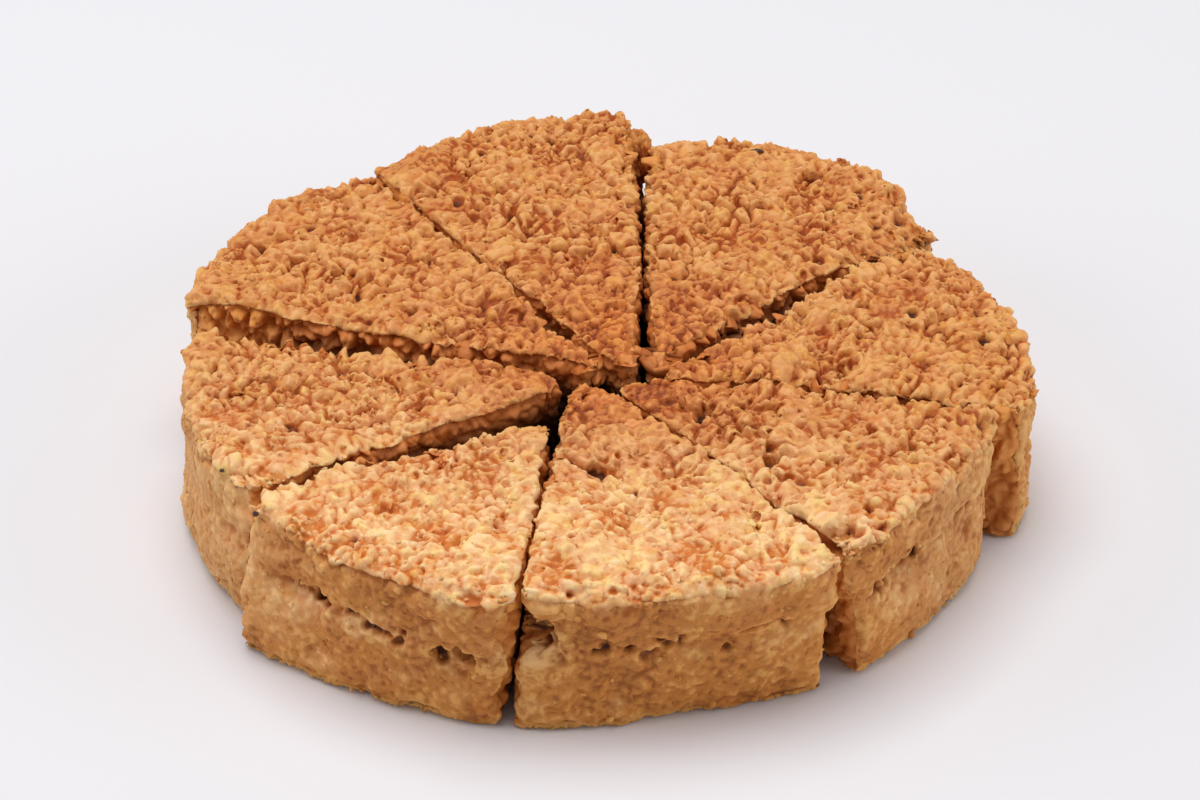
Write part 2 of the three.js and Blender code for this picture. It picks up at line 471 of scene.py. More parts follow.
@dataclass(frozen=True)
class Gap:
    """How far crumbs grow into the gap between two slices, at its inner and at its outer end."""

    slices: tuple[str, str]
    inner: float
    outer: float


@dataclass
class Form:
    """A slice's solid and its neighbours' solids, to measure from.

    closings holds, for each of the neighbours' faces, how far crumbs may grow out towards it: near
    the middle of the round, and at the rim.
    """

    tree: BVHTree
    zones: list[Zone]
    others: BVHTree
    closings: np.ndarray

    def survey(self, points: np.ndarray) -> tuple[np.ndarray, np.ndarray, np.ndarray]:
        """Finds what part of the solid lies under each point.

        Args:
            points: The points in metres.

        Returns:
            The points' heights above the solid, the zones under them, and the solid's normals.
        """
        heights = np.empty(len(points))
        kinds = np.empty(len(points), dtype=np.int64)
        normals = np.empty((len(points), 3))
        for index, point in enumerate(points):
            place = Vector(point)
            foot, normal, face, _ = self.tree.find_nearest(place)
            heights[index] = normal.dot(place - foot)
            kinds[index] = self.zones[face]
            normals[index] = normal
        return heights, kinds, normals

    def room(self, shell: Shell, heights: np.ndarray, growth: Growth,
             least: float) -> tuple[np.ndarray, np.ndarray, np.ndarray]:
        """Finds how each point lies to its nearest neighbour.

        Args:
            shell: The slice's skin.
            heights: The points' heights above this slice's solid, in metres.
            growth: How crumbs grow.
            least: The least distance to keep between two slices, in metres.

        Returns:
            How far each point may still go out, below 0 where it reaches too far, the level way
            to the neighbour, and the most that crumbs grow out there.
        """
        reach = growth.reach * MM
        free = np.full(len(shell.points), reach)
        aside = np.zeros((len(shell.points), 3))
        closings = np.zeros((len(shell.points), 2))
        for index, point in enumerate(shell.points):
            place = Vector(point)
            foot, normal, face, distance = self.others.find_nearest(place, reach)
            if foot is not None:
                if distance < reach / 3:
                    free[index] = (normal.dot(place - foot) - heights[index] - least) / 2
                aside[index] = (foot.x - place.x, foot.y - place.y, 0)
                closings[index] = self.closings[face]
        inner, outer = closings.T
        outward = ramp(np.hypot(*shell.flat[:, :2].T), *growth.outer)
        return free, aside, inner + (outer - inner) * outward


@dataclass(frozen=True)
class GrainKind:
    """The grains that cover one kind of surface. Lengths are in millimetres."""

    smallest: float
    largest: float
    crowding: float
    standing: float
    waves: float


@dataclass
class GrainSkin:
    """Covers a slice's solid with packed grains and fuses them into one mesh.

    Lengths are in millimetres. hollow is how far the bare core lies under the solid's surface,
    and so how deep a crevice can go. Below seen_height and inside seen_reach the cut faces
    close on one another, so they get fewer faces there. throws is how many grains are tried for
    each one that would fit, and the higher smallness is, the more of them are small. A face counts
    as top, foot or rim by its slope, the rim from rim_reach outwards.
    """

    seed: int
    voxel: float = 0.45
    hollow: float = 1.7
    side_hollow: float = 0.8
    shapes: int = 7
    seen_height: float = 24.0
    seen_reach: float = 78.0
    thinning: float = 0.93
    throws: float = 3.2
    smallness: float = 2.2
    top_slope: float = 0.55
    foot_slope: float = -0.7
    rim_slope: float = 0.72
    rim_reach: float = 60.0
    clods: Lumps = Lumps(5.6, 1)
    kinds: dict[Zone, GrainKind] = field(default_factory=lambda: {
        Zone.TOP: GrainKind(smallest=0.5, largest=1.6, crowding=0.76, standing=0.27, waves=0.75),
        Zone.RIM: GrainKind(smallest=0.45, largest=1.05, crowding=0.66, standing=0.22, waves=0.15),
        Zone.CUT: GrainKind(smallest=0.6, largest=1.5, crowding=0.7, standing=0.3, waves=0.3),
    })

    def __post_init__(self) -> None:
        """Starts the seeded draws and makes the grains' own shapes."""
        self.draw = np.random.default_rng(self.seed)
        self.templates = [self.grain_shape() for _ in range(self.shapes)]

    def grain_shape(self) -> tuple[np.ndarray, np.ndarray]:
        """Makes one lumpy grain about 1 in radius.

        Returns:
            Its points and its triangles.
        """
        mesh = bmesh.new()
        bmesh.ops.create_icosphere(mesh, subdivisions=2, radius=1.0)
        offset = Vector(self.draw.uniform(0, 50, 3))
        for vert in mesh.verts:
            vert.co *= 1.0 + 0.35 * noise.noise(vert.co * 1.4 + offset)
        shape = arrays_of(mesh)
        mesh.free()
        return shape

    def zone_of(self, middle: Vector, normal: Vector) -> Zone:
        """Tells which kind of surface a face of the solid belongs to.

        Args:
            middle: The face's middle.
            normal: The face's outward normal.

        Returns:
            The face's zone.
        """
        if normal.z > self.top_slope:
            return Zone.TOP
        if normal.z < self.foot_slope:
            return Zone.FOOT
        outward = middle - MIDDLE
        outward.z = 0.0
        far_out = outward.length > self.rim_reach * MM
        return Zone.RIM if far_out and normal.dot(outward.normalized()) > self.rim_slope else Zone.CUT

    def core(self, solid: bpy.types.Object) -> bmesh.types.BMesh:
        """Copies a node's solid as one merged closed mesh.

        Args:
            solid: The node's object, whose own mesh stays as it is.

        Returns:
            The copy, with its normals worked out.
        """
        mesh = bmesh.new()
        mesh.from_mesh(solid.data)
        bmesh.ops.remove_doubles(mesh, verts=mesh.verts, dist=1e-6)
        bmesh.ops.recalc_face_normals(mesh, faces=mesh.faces)
        mesh.normal_update()
        mesh.faces.ensure_lookup_table()
        return mesh

    def scatter(self, core: bmesh.types.BMesh, zones: list[Zone]) -> list[tuple]:
        """Throws candidate grains over the solid and keeps those that find room.

        Args:
            core: The solid, still at its full size.
            zones: The zone of each face.

        Returns:
            One tuple for each grain: place, normal, radius and zone.
        """
        throws = []
        for face, zone in zip(core.faces, zones):
            if zone == Zone.FOOT:
                continue
            kind = self.kinds[zone]
            mean = (kind.smallest + kind.largest) / 2 * MM
            wanted = self.throws * face.calc_area() / (math.pi * mean * mean)
            corners = [np.array(vert.co) for vert in face.verts]
            for _ in range(int(wanted + self.draw.random())):
                u, v = self.draw.random(2)
                if u + v > 1:
                    u, v = 1 - u, 1 - v
                place = corners[0] + u * (corners[1] - corners[0]) + v * (corners[2] - corners[0])
                size = kind.smallest + (kind.largest - kind.smallest) * self.draw.random() ** self.smallness
                throws.append((size * MM, tuple(place), face.normal.copy(), zone))
        throws.sort(key=lambda throw: (-throw[0], throw[1]))
        return self.settle(throws)

    def settle(self, throws: list[tuple]) -> list[tuple]:
        """Keeps each grain that doesn't crowd a larger one.

        Args:
            throws: The candidates, the largest first.

        Returns:
            The grains kept: place, normal, radius and zone.
        """
        cell = 2 * max(kind.largest for kind in self.kinds.values()) * MM
        taken = defaultdict(list)
        kept = []
        for radius, place, normal, zone in throws:
            home = tuple(int(math.floor(value / cell)) for value in place)
            crowding = self.kinds[zone].crowding
            near = (other for step in itertools.product((-1, 0, 1), repeat=3)
                    for other in taken.get((home[0] + step[0], home[1] + step[1], home[2] + step[2]), ()))
            if all(math.dist(place, other[0]) > crowding * (radius + other[1]) for other in near):
                taken[home].append((place, radius))
                kept.append((place, normal, radius, zone))
        return kept

    def grains(self, packed: list[tuple]) -> tuple[np.ndarray, np.ndarray, np.ndarray]:
        """Makes all the grains of a slice as one set of arrays.

        Each grain is sunk into the surface, deeper in the crevices between clumps.

        Args:
            packed: The grains from scatter.

        Returns:
            The points, the triangles, and the grains' middles.
        """
        places = np.array([place for place, _, _, _ in packed])
        inset, own = self.clods.clumps(places)
        heave = np.clip(inset / 1.3, 0, 1) - 0.75 + 0.9 * (own - 0.5)
        points, faces, middles = [], [], []
        start = 0
        for (place, normal, radius, zone), lift in zip(packed, heave):
            kind = self.kinds[zone]
            stand = kind.standing * radius * self.draw.uniform(0.3, 1.7) + kind.waves * lift * MM
            middle = np.array(place) + np.array(normal) * (stand - radius)
            shape, triangles = self.templates[self.draw.integers(len(self.templates))]
            turn = Matrix.Rotation(self.draw.uniform(0, math.tau), 3, Vector(self.draw.normal(size=3)))
            stretch = self.draw.uniform(0.8, 1.2, 3)
            points.append((shape * stretch * radius) @ np.array(turn).T + middle)
            faces.append(triangles + start)
            middles.append(middle)
            start += len(shape)
        return np.concatenate(points), np.concatenate(faces), np.array(middles)

    def fuse(self, name: str, core: bmesh.types.BMesh,
             packed: list[tuple]) -> tuple[bpy.types.Mesh, np.ndarray]:
        """Joins the sunk core and its grains into one closed skin.

        Args:
            name: The new mesh's name.
            core: The solid, which is sunk in place.
            packed: The grains from scatter.

        Returns:
            The skin's mesh and the grains' middles.
        """
        points, faces, middles = self.grains(packed)
        for vert in core.verts:
            upward = max(0.0, vert.normal.z)
            sink = vert.normal * (self.side_hollow + (self.hollow - self.side_hollow) * upward) * MM
            if vert.co.z > 0.1 * MM:
                vert.co -= sink
            else:
                vert.co.x -= sink.x
                vert.co.y -= sink.y
        inner, shell = arrays_of(core)
        rough = bpy.data.meshes.new(name)
        rough.from_pydata(np.concatenate([inner, points]), [], np.concatenate([shell, faces + len(inner)]))
        size = self.voxel * MM
        skin = self.largest_piece(self.changed(rough, "REMESH", mode="VOXEL", voxel_size=size))
        return self.thinned(skin), middles

    def changed(self, mesh: bpy.types.Mesh, kind: str, weights: np.ndarray | None = None,
                **settings: object) -> bpy.types.Mesh:
        """Applies one modifier to a mesh.

        Args:
            mesh: The mesh, which is used up.
            kind: The modifier's type.
            weights: Each point's weight in the group "share", where the modifier reads one.
            **settings: The modifier's settings.

        Returns:
            The changed mesh.
        """
        holder = added(mesh.name, mesh)
        if weights is not None:
            group = holder.vertex_groups.new(name="share")
            group.add(np.nonzero(weights)[0].tolist(), 1.0, "REPLACE")
        modifier = holder.modifiers.new("change", kind)
        for name, value in settings.items():
            setattr(modifier, name, value)
        graph = bpy.context.evaluated_depsgraph_get()
        made = bpy.data.meshes.new_from_object(holder.evaluated_get(graph))
        bpy.data.objects.remove(holder)
        bpy.data.meshes.remove(mesh)
        return made

    def thinned(self, skin: bpy.types.Mesh) -> bpy.types.Mesh:
        """Gives fewer faces to the flat foot and to the cut faces deep between slices.

        Args:
            skin: The fused skin, which is used up.

        Returns:
            The thinned skin.
        """
        flat = Shell.of(skin).flat
        deep = (flat[:, 2] < self.seen_height) & (np.hypot(flat[:, 0], flat[:, 1]) < self.seen_reach)
        unseen = deep | (flat[:, 2] < 0.2)
        ratio = 1 - self.thinning * unseen.mean()
        return self.changed(skin, "DECIMATE", unseen, ratio=ratio, vertex_group="share")

    def largest_piece(self, mesh: bpy.types.Mesh) -> bpy.types.Mesh:
        """Drops the small bubbles that lie shut in between grains.

        Args:
            mesh: The fused skin.

        Returns:
            The same mesh with its outer shell alone.
        """
        labels = Shell.of(mesh).pieces()
        kept = np.bincount(labels).argmax()
        shell = bmesh.new()
        shell.from_mesh(mesh)
        shell.verts.ensure_lookup_table()
        stray = [shell.verts[index] for index in np.nonzero(labels != kept)[0]]
        bmesh.ops.delete(shell, geom=stray, context="VERTS")
        shell.to_mesh(mesh)
        shell.free()
        return mesh


@dataclass(frozen=True)
class Ledge:
    """The broken line between two pourings, where the upper one stands a little proud.

    The higher whole is, the fewer places it has where it is broken open. wander and jitter are how
    far its line strays up and down, and above and below it the step fades out over fade. Lengths
    are in millimetres, bearings in degrees.
    """

    bearings: tuple[float, float]
    heights: tuple[float, float]
    proud: float = 0.28
    notch: float = 2.1
    whole: float = 2.9
    half_width: float = 1.0
    wander: float = 4.0
    jitter: float = 3.0
    rise: float = 1.4
    fade: float = 7.0

    def sink_at(self, flat: np.ndarray) -> np.ndarray:
        """Works out how far the ledge sinks points of the rim: less than 0 above it.

        Args:
            flat: The points in millimetres from the cake's middle.

        Returns:
            How far each point is sunk, in millimetres.
        """
        bearings = np.degrees(np.arctan2(flat[:, 1], flat[:, 0]))
        start, end = self.bearings
        along = (bearings - start) / (end - start)
        inside = np.clip(np.minimum(along, 1 - along) * 9, 0, 1)
        places = flat * MM
        level = self.heights[0] + (self.heights[1] - self.heights[0]) * along
        level += self.wander * Lumps(7.0, 31).wave(places) + self.jitter * Lumps(2.1, 32).wave(places)
        above = flat[:, 2] - level
        broken = 4.4 * Lumps(1.9, 33).soft(places) + 2.2 * Lumps(6.0, 34).soft(places) - self.whole
        cleft = self.notch * np.clip(broken, 0, 1) * np.exp(-(((above + 0.2) / self.half_width) ** 2))
        step = np.clip(above / self.rise, -1, 1) * np.exp(-((above / self.fade) ** 2))
        return inside * (cleft - self.proud * step)


@dataclass(frozen=True)
class Dent:
    """A hollow (depth above 0) or a knob (below 0) at a place on the cake, in millimetres.

    into is the way that it goes in, where that isn't straight in from the surface.
    """

    place: tuple[float, float, float]
    radius: float
    depth: float
    into: tuple[float, float, float] | None = None

    def snapped(self, points: np.ndarray) -> "Dent":
        """Moves the dent's middle to the nearest of the skin's points."""
        nearest = np.linalg.norm(points - np.array(self.place), axis=1).argmin()
        return replace(self, place=tuple(points[nearest]))

    def depth_at(self, points: np.ndarray) -> np.ndarray:
        """Works out how deep the dent sinks each point.

        Args:
            points: The points in millimetres from the cake's middle.

        Returns:
            The depths in millimetres.
        """
        near = np.linalg.norm(points - np.array(self.place), axis=1) < 1.5 * self.radius
        depths = np.zeros(len(points))
        uneven = 0.55 + 0.9 * Lumps(1.6, 17).soft(points[near] * MM)
        share = np.linalg.norm(points[near] - np.array(self.place), axis=1) / self.radius * uneven
        depths[near] = self.depth * np.clip(1.25 * (1 - share * share), 0, 1)
        return depths


@dataclass
class Slice:
    """One wedge of the cake: its node, and what marks its surface. Lengths are in millimetres.

    fill is the most that the skin is raised where it lies below the solid, and swell raises it a
    little more. closing is how far crumbs grow out, at the inner and at the outer end of a gap that
    isn't named. slit is how wide a gap stays at least, and voxel is the size of the skin's faces.
    Dents and ledges are also coloured a little darker than their depth makes them, as painted shade.
    """

    node: str
    seed: int
    pits: int = 26
    ledges: tuple[Ledge, ...] = ()
    dents: tuple[Dent, ...] = ()
    swell: float = 0.15
    fill: float = 1.2
    closing: tuple[float, float] = (0.4, 0.4)
    slit: float = 0.1
    voxel: float = 0.45
    # How much darker dents and ledges are painted than their depth makes them: painted shade.
    painted_mark_shade: float = 0.3
    relief: Relief = Relief()
    wear: Wear = Wear()
    growth: Growth = Growth()

    def build(self, finish: "FudgeFinish", frame: dict, gaps: tuple[Gap, ...]) -> "Skin":
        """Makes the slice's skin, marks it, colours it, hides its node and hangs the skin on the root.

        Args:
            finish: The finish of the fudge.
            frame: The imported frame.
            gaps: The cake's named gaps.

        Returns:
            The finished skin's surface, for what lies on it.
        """
        maker = GrainSkin(self.seed, self.voxel)
        core = maker.core(frame["nodes"][self.node])
        zones = [maker.zone_of(face.calc_center_median(), face.normal) for face in core.faces]
        form = Form(BVHTree.FromBMesh(core), zones, *self.neighbours(frame, gaps))
        packed = maker.scatter(core, zones)
        mesh, middles = maker.fuse(self.node + "_crumb", core, packed)
        core.free()
        skin = self.mark(mesh, form, middles, maker.draw)
        mesh.shade_smooth()
        mesh.materials.append(finish.material())
        piece = added(self.node + "_crumb", mesh)
        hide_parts(self.node)
        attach(piece, "root")
        log.info("%s: %d grains, %d faces", self.node, len(packed), len(mesh.polygons))
        return skin

    def neighbours(self, frame: dict, gaps: tuple[Gap, ...]) -> tuple[BVHTree, np.ndarray]:
        """Gathers the solids of all the other slices.

        Args:
            frame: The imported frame.
            gaps: The cake's named gaps.

        Returns:
            Their faces, to measure from, and how far crumbs may grow towards each face.
        """
        named = {frozenset(gap.slices): (gap.inner, gap.outer) for gap in gaps}
        points, faces, closings = [], [], []
        for name, solid in frame["nodes"].items():
            if name != self.node:
                start = len(points)
                points.extend(vert.co.copy() for vert in solid.data.vertices)
                faces.extend([start + index for index in face.vertices] for face in solid.data.polygons)
                closing = named.get(frozenset((name, self.node)), self.closing)
                closings += [closing] * len(solid.data.polygons)
        return BVHTree.FromPolygons(points, faces), np.array(closings) * MM

    def mark(self, mesh: bpy.types.Mesh, form: Form, middles: np.ndarray,
             draw: np.random.Generator) -> "Skin":
        """Sculpts the fused skin, fits it between its neighbours and colours it.

        Args:
            mesh: The slice's skin, changed in place.
            form: The solid and its neighbours.
            middles: The grains' middles.
            draw: The slice's seeded draws.

        Returns:
            The marked surface.
        """
        shell = Shell.of(mesh)
        shell.points = shell.smoothed(shell.points, 1, 0.5)
        softer = shell.smoothed(shell.points, 12)
        shell.points += (softer - shell.points) * self.smoothness(shell)[:, None]
        heights, kinds, normals = form.survey(shell.points)
        outward = shell.smoothed(normals, 3)
        outward /= np.linalg.norm(outward, axis=1)[:, None]
        fold = 1 - np.linalg.norm(shell.smoothed(normals, 24), axis=1)
        level = np.clip(-shell.evened(heights, 50) / MM, 0, self.fill)
        dents = [dent.snapped(shell.flat) for dent in self.dents]
        marked = self.marks(shell, kinds, dents)
        sunk = marked + self.pit_depths(shell, kinds, draw)
        sunk += fold * self.wear.losses(shell.points, outward)
        rise = np.where(kinds == Zone.FOOT, 0, level + self.rises(shell, outward, kinds) - sunk) * MM
        shell.points += outward * rise[:, None]
        # Lowering the depth layer in dents and ledges makes the finish paint them darker: painted shade.
        heights += rise - self.painted_mark_shade * np.maximum(marked, 0) * MM
        for dent in dents:
            if dent.into is not None:
                pushed = dent.depth_at(shell.flat) * MM
                shell.points += pushed[:, None] * np.array(dent.into)
                heights -= pushed
        heights += self.fit(shell, form, heights, outward)
        shell.points[:, 2] = np.maximum(shell.points[:, 2], 0)
        mesh.vertices.foreach_set("co", shell.points.ravel())
        mesh.update()
        shell = Shell.of(mesh)
        layers = self.layers(shell, heights, kinds, outward, middles, draw)
        store_layers(mesh, layers)
        return Skin(shell, kinds, layers)

    def fit(self, shell: Shell, form: Form, heights: np.ndarray, outward: np.ndarray) -> np.ndarray:
        """Draws back what reaches past the middle of a gap, then lets crumbs grow sideways into it.

        Args:
            shell: The skin, whose points are moved.
            form: The solid and its neighbours.
            heights: The points' heights above the solid.
            outward: The way out at each point.

        Returns:
            How far each point has moved out from the solid.
        """
        free, aside, most = form.room(shell, heights, self.growth, self.slit * MM)
        drawn = np.minimum(free, 0)
        shell.points += outward * drawn[:, None]
        across = np.linalg.norm(aside, axis=1) + 1e-9
        upright = 1 - np.abs(outward[:, 2])
        left = np.clip((across - np.maximum(heights, 0) * upright - self.slit * MM) / 2, 0, None)
        grown = np.minimum(left, most * self.growth.share(shell, across, most))
        shell.points += aside / across[:, None] * grown[:, None]
        return drawn + grown * upright

    def rises(self, shell: Shell, outward: np.ndarray, kinds: np.ndarray) -> np.ndarray:
        """Works out how far the crumbly relief raises each point of the skin.

        Args:
            shell: The skin.
            outward: The way out at each point.
            kinds: The zone of each point.

        Returns:
            The rises in millimetres.
        """
        facing_up = outward[:, 2]
        up = np.clip(facing_up * 2 - 0.6, 0, 1)
        rise, inset = self.relief.everywhere(shell.points, self.cragginess(shell), up)
        rise += shell.evened((kinds == Zone.CUT).astype(float), 4) * self.relief.on_cuts(shell, inset)
        on_edge = 4 * facing_up * (1 - facing_up) * (facing_up > 0)
        return self.swell + rise + on_edge * self.relief.on_edges(shell.points)

    def marks(self, shell: Shell, kinds: np.ndarray, dents: list[Dent]) -> np.ndarray:
        """Works out how far ledges and dents sink each point of the skin.

        Args:
            shell: The skin.
            kinds: The zone of each point.
            dents: The slice's dents, on the skin.

        Returns:
            The depths in millimetres.
        """
        sink = np.zeros(len(shell.points))
        for ledge in self.ledges:
            sink += np.where(kinds == Zone.RIM, ledge.sink_at(shell.flat), 0)
        for dent in dents:
            if dent.into is None:
                sink += dent.depth_at(shell.flat)
        return sink

    def smoothness(self, shell: Shell) -> np.ndarray:
        """Tells how far the grains have run together at each point: most on the walls.

        Args:
            shell: The skin.

        Returns:
            0 for loose grains, 1 for grains run together.
        """
        _, back, height = shell.flat.T
        patches = Lumps(13.0, 9).soft(shell.points - np.array(MIDDLE))
        run = 1.2 * patches + 0.25 + 0.4 * ramp(height, 34, 30) + 0.1 * ramp(back, -25, -70)
        return np.clip(run, 0.45, 1)

    def cragginess(self, shell: Shell) -> np.ndarray:
        """Tells how craggy the cake is at each point: least at the front rim and on the walls.

        Args:
            shell: The skin.

        Returns:
            0.2 for fine and even, 1 for craggy.
        """
        _, back, height = shell.flat.T
        return np.clip(1 - 0.4 * ramp(back, -15, -60) - 0.6 * ramp(height, 33, 28), 0.2, 1)

    def pit_depths(self, shell: Shell, kinds: np.ndarray, draw: np.random.Generator) -> np.ndarray:
        """Draws small uneven pits over the top.

        Args:
            shell: The skin.
            kinds: The zone of each point.
            draw: The slice's seeded draws.

        Returns:
            How deep each point is sunk, in millimetres.
        """
        tree = tree_of(shell.points)
        depths = np.zeros(len(shell.points))
        uneven = 0.6 + 0.8 * Lumps(1.1, 15).soft(shell.points)
        for chosen in draw.choice(np.nonzero(kinds == Zone.TOP)[0], self.pits):
            radius = draw.uniform(0.5, 1.4)
            depth = min(radius, 1.0) * draw.uniform(0.5, 1.4)
            for _, index, distance in tree.find_range(shell.points[chosen], radius * MM):
                share = 1 - (distance * uneven[index] / (radius * MM)) ** 2
                depths[index] = max(depths[index], depth * share)
        return depths

    def layers(self, shell: Shell, heights: np.ndarray, kinds: np.ndarray, outward: np.ndarray,
               middles: np.ndarray, draw: np.random.Generator) -> dict[str, np.ndarray]:
        """Works out what the finish reads: crowns and crevices, which it paints as highlight and shade
        besides the fudge's own tones, each grain's tint, and the zones.

        Args:
            shell: The finished surface.
            heights: The points' heights above the solid.
            kinds: The zone of each point.
            outward: The way out at each point.
            middles: The grains' middles.
            draw: The slice's seeded draws.

        Returns:
            The layers by name, one value for each point.
        """
        fine = ((shell.points - shell.smoothed(shell.points, 12)) * shell.normals).sum(axis=1) / MM
        broad = (heights - shell.evened(heights, 60)) / MM
        tints = draw.random(len(middles))
        tree = tree_of(middles)
        return {
            # The finish paints crowns paler and crevices and hollows darker from crown and depth: painted
            # highlight and painted shade, besides the fudge's own tones.
            "crown": fine,
            "depth": broad,
            "tint": shell.evened(np.array([tints[tree.find(point)[1]] for point in shell.points]), 2),
            "wall": shell.evened(ramp(outward[:, 2], 0.6, 0), 20),
            "cut": shell.evened((kinds == Zone.CUT).astype(float), 4),
        }


def store_layers(mesh: bpy.types.Mesh, layers: dict[str, np.ndarray]) -> None:
    """Stores layers of values on a mesh, one value for each point.

    Args:
        mesh: The mesh.
        layers: The values by the layer's name.
    """
    for name, values in layers.items():
        layer = mesh.attributes.new(name, "FLOAT", "POINT")
        layer.data.foreach_set("value", values.astype(np.float32))


@dataclass
class Skin:
    """A finished slice's surface: its arrays, the zone of each point and its layers."""

    shell: Shell
    kinds: np.ndarray
    layers: dict[str, np.ndarray]

    def open_points(self) -> np.ndarray:
        """Lists the points of the top and the rim that lie open to view."""
        open_air = (self.kinds == Zone.TOP) | (self.kinds == Zone.RIM)
        return np.nonzero(open_air & (self.shell.points[:, 2] > 0.5 * MM))[0]


@dataclass(frozen=True)
class LooseGrains:
    """One kind of small grain that lies half sunk in the cake's surface. Lengths are in millimetres.

    crown is how much paler than the surface the grains are, sunk is how far in they lie as a share
    of their size, and clumping is how much they gather. The higher smallness is, the more of them
    are small. Where places are given, the grains lie nearest to them and not at random.
    """

    name: str
    seed: int
    count: int
    smallest: float
    largest: float
    crown: float
    sunk: float = 0.4
    flatness: float = 0.65
    clumping: float = 0.8
    fineness: int = 1
    smallness: float = 1.8
    lumpiness: float = 0.28
    stretch: float = 0.3
    gathering: float = 6.0
    places: tuple[tuple[float, float, float], ...] = ()

    def build(self, skins: list[Skin], finish: "FudgeFinish") -> bpy.types.Object:
        """Scatters the grains over the skins as one mesh.

        Args:
            skins: The surfaces of the slices.
            finish: The finish of the fudge.

        Returns:
            The finished piece.
        """
        draw = np.random.default_rng(self.seed)
        spots, normals, layers = self.spots(skins, draw)
        shape, triangles = self.template()
        spread = draw.random(len(spots)) ** self.smallness
        sizes = (self.smallest + (self.largest - self.smallest) * spread) * MM
        turns = self.turns(len(spots), draw)
        rough = self.lumpiness / self.fineness
        bulges = draw.uniform(1 - rough, 1 + rough, (len(spots), len(shape), 1)) * shape[None]
        bulges *= draw.uniform(1 - self.stretch, 1 + self.stretch, (len(spots), 1, 3)) * sizes[:, None, None]
        depths = sizes * draw.uniform(0, 2 * self.sunk, len(sizes)) * self.flatness
        middles = spots - normals * depths[:, None]
        points = np.einsum("nij,npj->npi", turns, bulges)
        upward = np.einsum("npi,ni->np", points, normals)
        points -= (1 - self.flatness) * upward[:, :, None] * normals[:, None, :]
        points += middles[:, None, :]
        points[:, :, 2] = np.maximum(points[:, :, 2], 0.02 * MM)
        faces = triangles[None] + (np.arange(len(spots)) * len(shape))[:, None, None]
        mesh = bpy.data.meshes.new(self.name)
        mesh.from_pydata(points.reshape(-1, 3), [], faces.reshape(-1, 3))
        store_layers(mesh, {name: np.repeat(values, len(shape)) for name, values in layers.items()})
        return placed(mesh, finish)

    def spots(self, skins: list[Skin], draw: np.random.Generator) -> tuple[np.ndarray, np.ndarray, dict]:
        """Chooses where the grains lie.

        Args:
            skins: The surfaces of the slices.
            draw: This kind's seeded draws.

        Returns:
            The grains' places, the surface's normals there, and the layers of each grain.
        """
        chosen = [skin.open_points() for skin in skins]
        places = np.concatenate([skin.shell.points[index] for skin, index in zip(skins, chosen)])
        normals = np.concatenate([skin.shell.normals[index] for skin, index in zip(skins, chosen)])
        gathered = Lumps(self.gathering, self.seed).wave(places)
        weights = np.clip(1 + self.clumping * 5 * gathered, 0.1, 2.5)
        if self.places:
            wanted = np.array(self.places) * MM + np.array(MIDDLE)
            picked = np.array([np.linalg.norm(places - place, axis=1).argmin() for place in wanted])
        else:
            picked = draw.choice(len(places), self.count, replace=False, p=weights / weights.sum())
        layers = {}
        for name in skins[0].layers:
            values = np.concatenate([skin.layers[name][index] for skin, index in zip(skins, chosen)])
            layers[name] = values[picked]
        layers["crown"] = self.crown + 0.12 * draw.normal(size=len(picked))
        # The grains take a share of their spot's painted hollow shade.
        layers["depth"] = np.minimum(layers["depth"], 0) * 0.6
        layers["tint"] = draw.random(len(picked))
        return places[picked], normals[picked], layers

    def template(self) -> tuple[np.ndarray, np.ndarray]:
        """Makes a plain ball: its points and its triangles."""
        ball = bmesh.new()
        bmesh.ops.create_icosphere(ball, subdivisions=self.fineness, radius=1.0)
        shape = arrays_of(ball)
        ball.free()
        return shape

    def turns(self, count: int, draw: np.random.Generator) -> np.ndarray:
        """Draws a random turn for each grain, as matrices."""
        w, x, y, z = draw.normal(size=(4, count))
        size = np.sqrt(w * w + x * x + y * y + z * z)
        w, x, y, z = w / size, x / size, y / size, z / size
        rows = [1 - 2 * (y * y + z * z), 2 * (x * y - w * z), 2 * (x * z + w * y),
                2 * (x * y + w * z), 1 - 2 * (x * x + z * z), 2 * (y * z - w * x),
                2 * (x * z - w * y), 2 * (y * z + w * x), 1 - 2 * (x * x + y * y)]
        return np.stack(rows, axis=1).reshape(-1, 3, 3)


def placed(mesh: bpy.types.Mesh, finish: "FudgeFinish") -> bpy.types.Object:
    """Puts a mesh into the scene as a piece of the fudge.

    Args:
        mesh: The mesh, at its true size and place.
        finish: The finish of the fudge.

    Returns:
        The piece, which rides on the root.
    """
    mesh.shade_smooth()
    mesh.materials.append(finish.material())
    piece = added(mesh.name, mesh)
    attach(piece, "root")
    return piece


@dataclass(frozen=True)
class Clump:
    """A lump of crumbs stuck together. Place and radii are in millimetres. A crown and a depth below 0
    colour it darker, as painted shade.
    """

    place: tuple[float, float, float]
    radii: tuple[float, float, float]
    crown: float = 0.0
    depth: float = 0.0


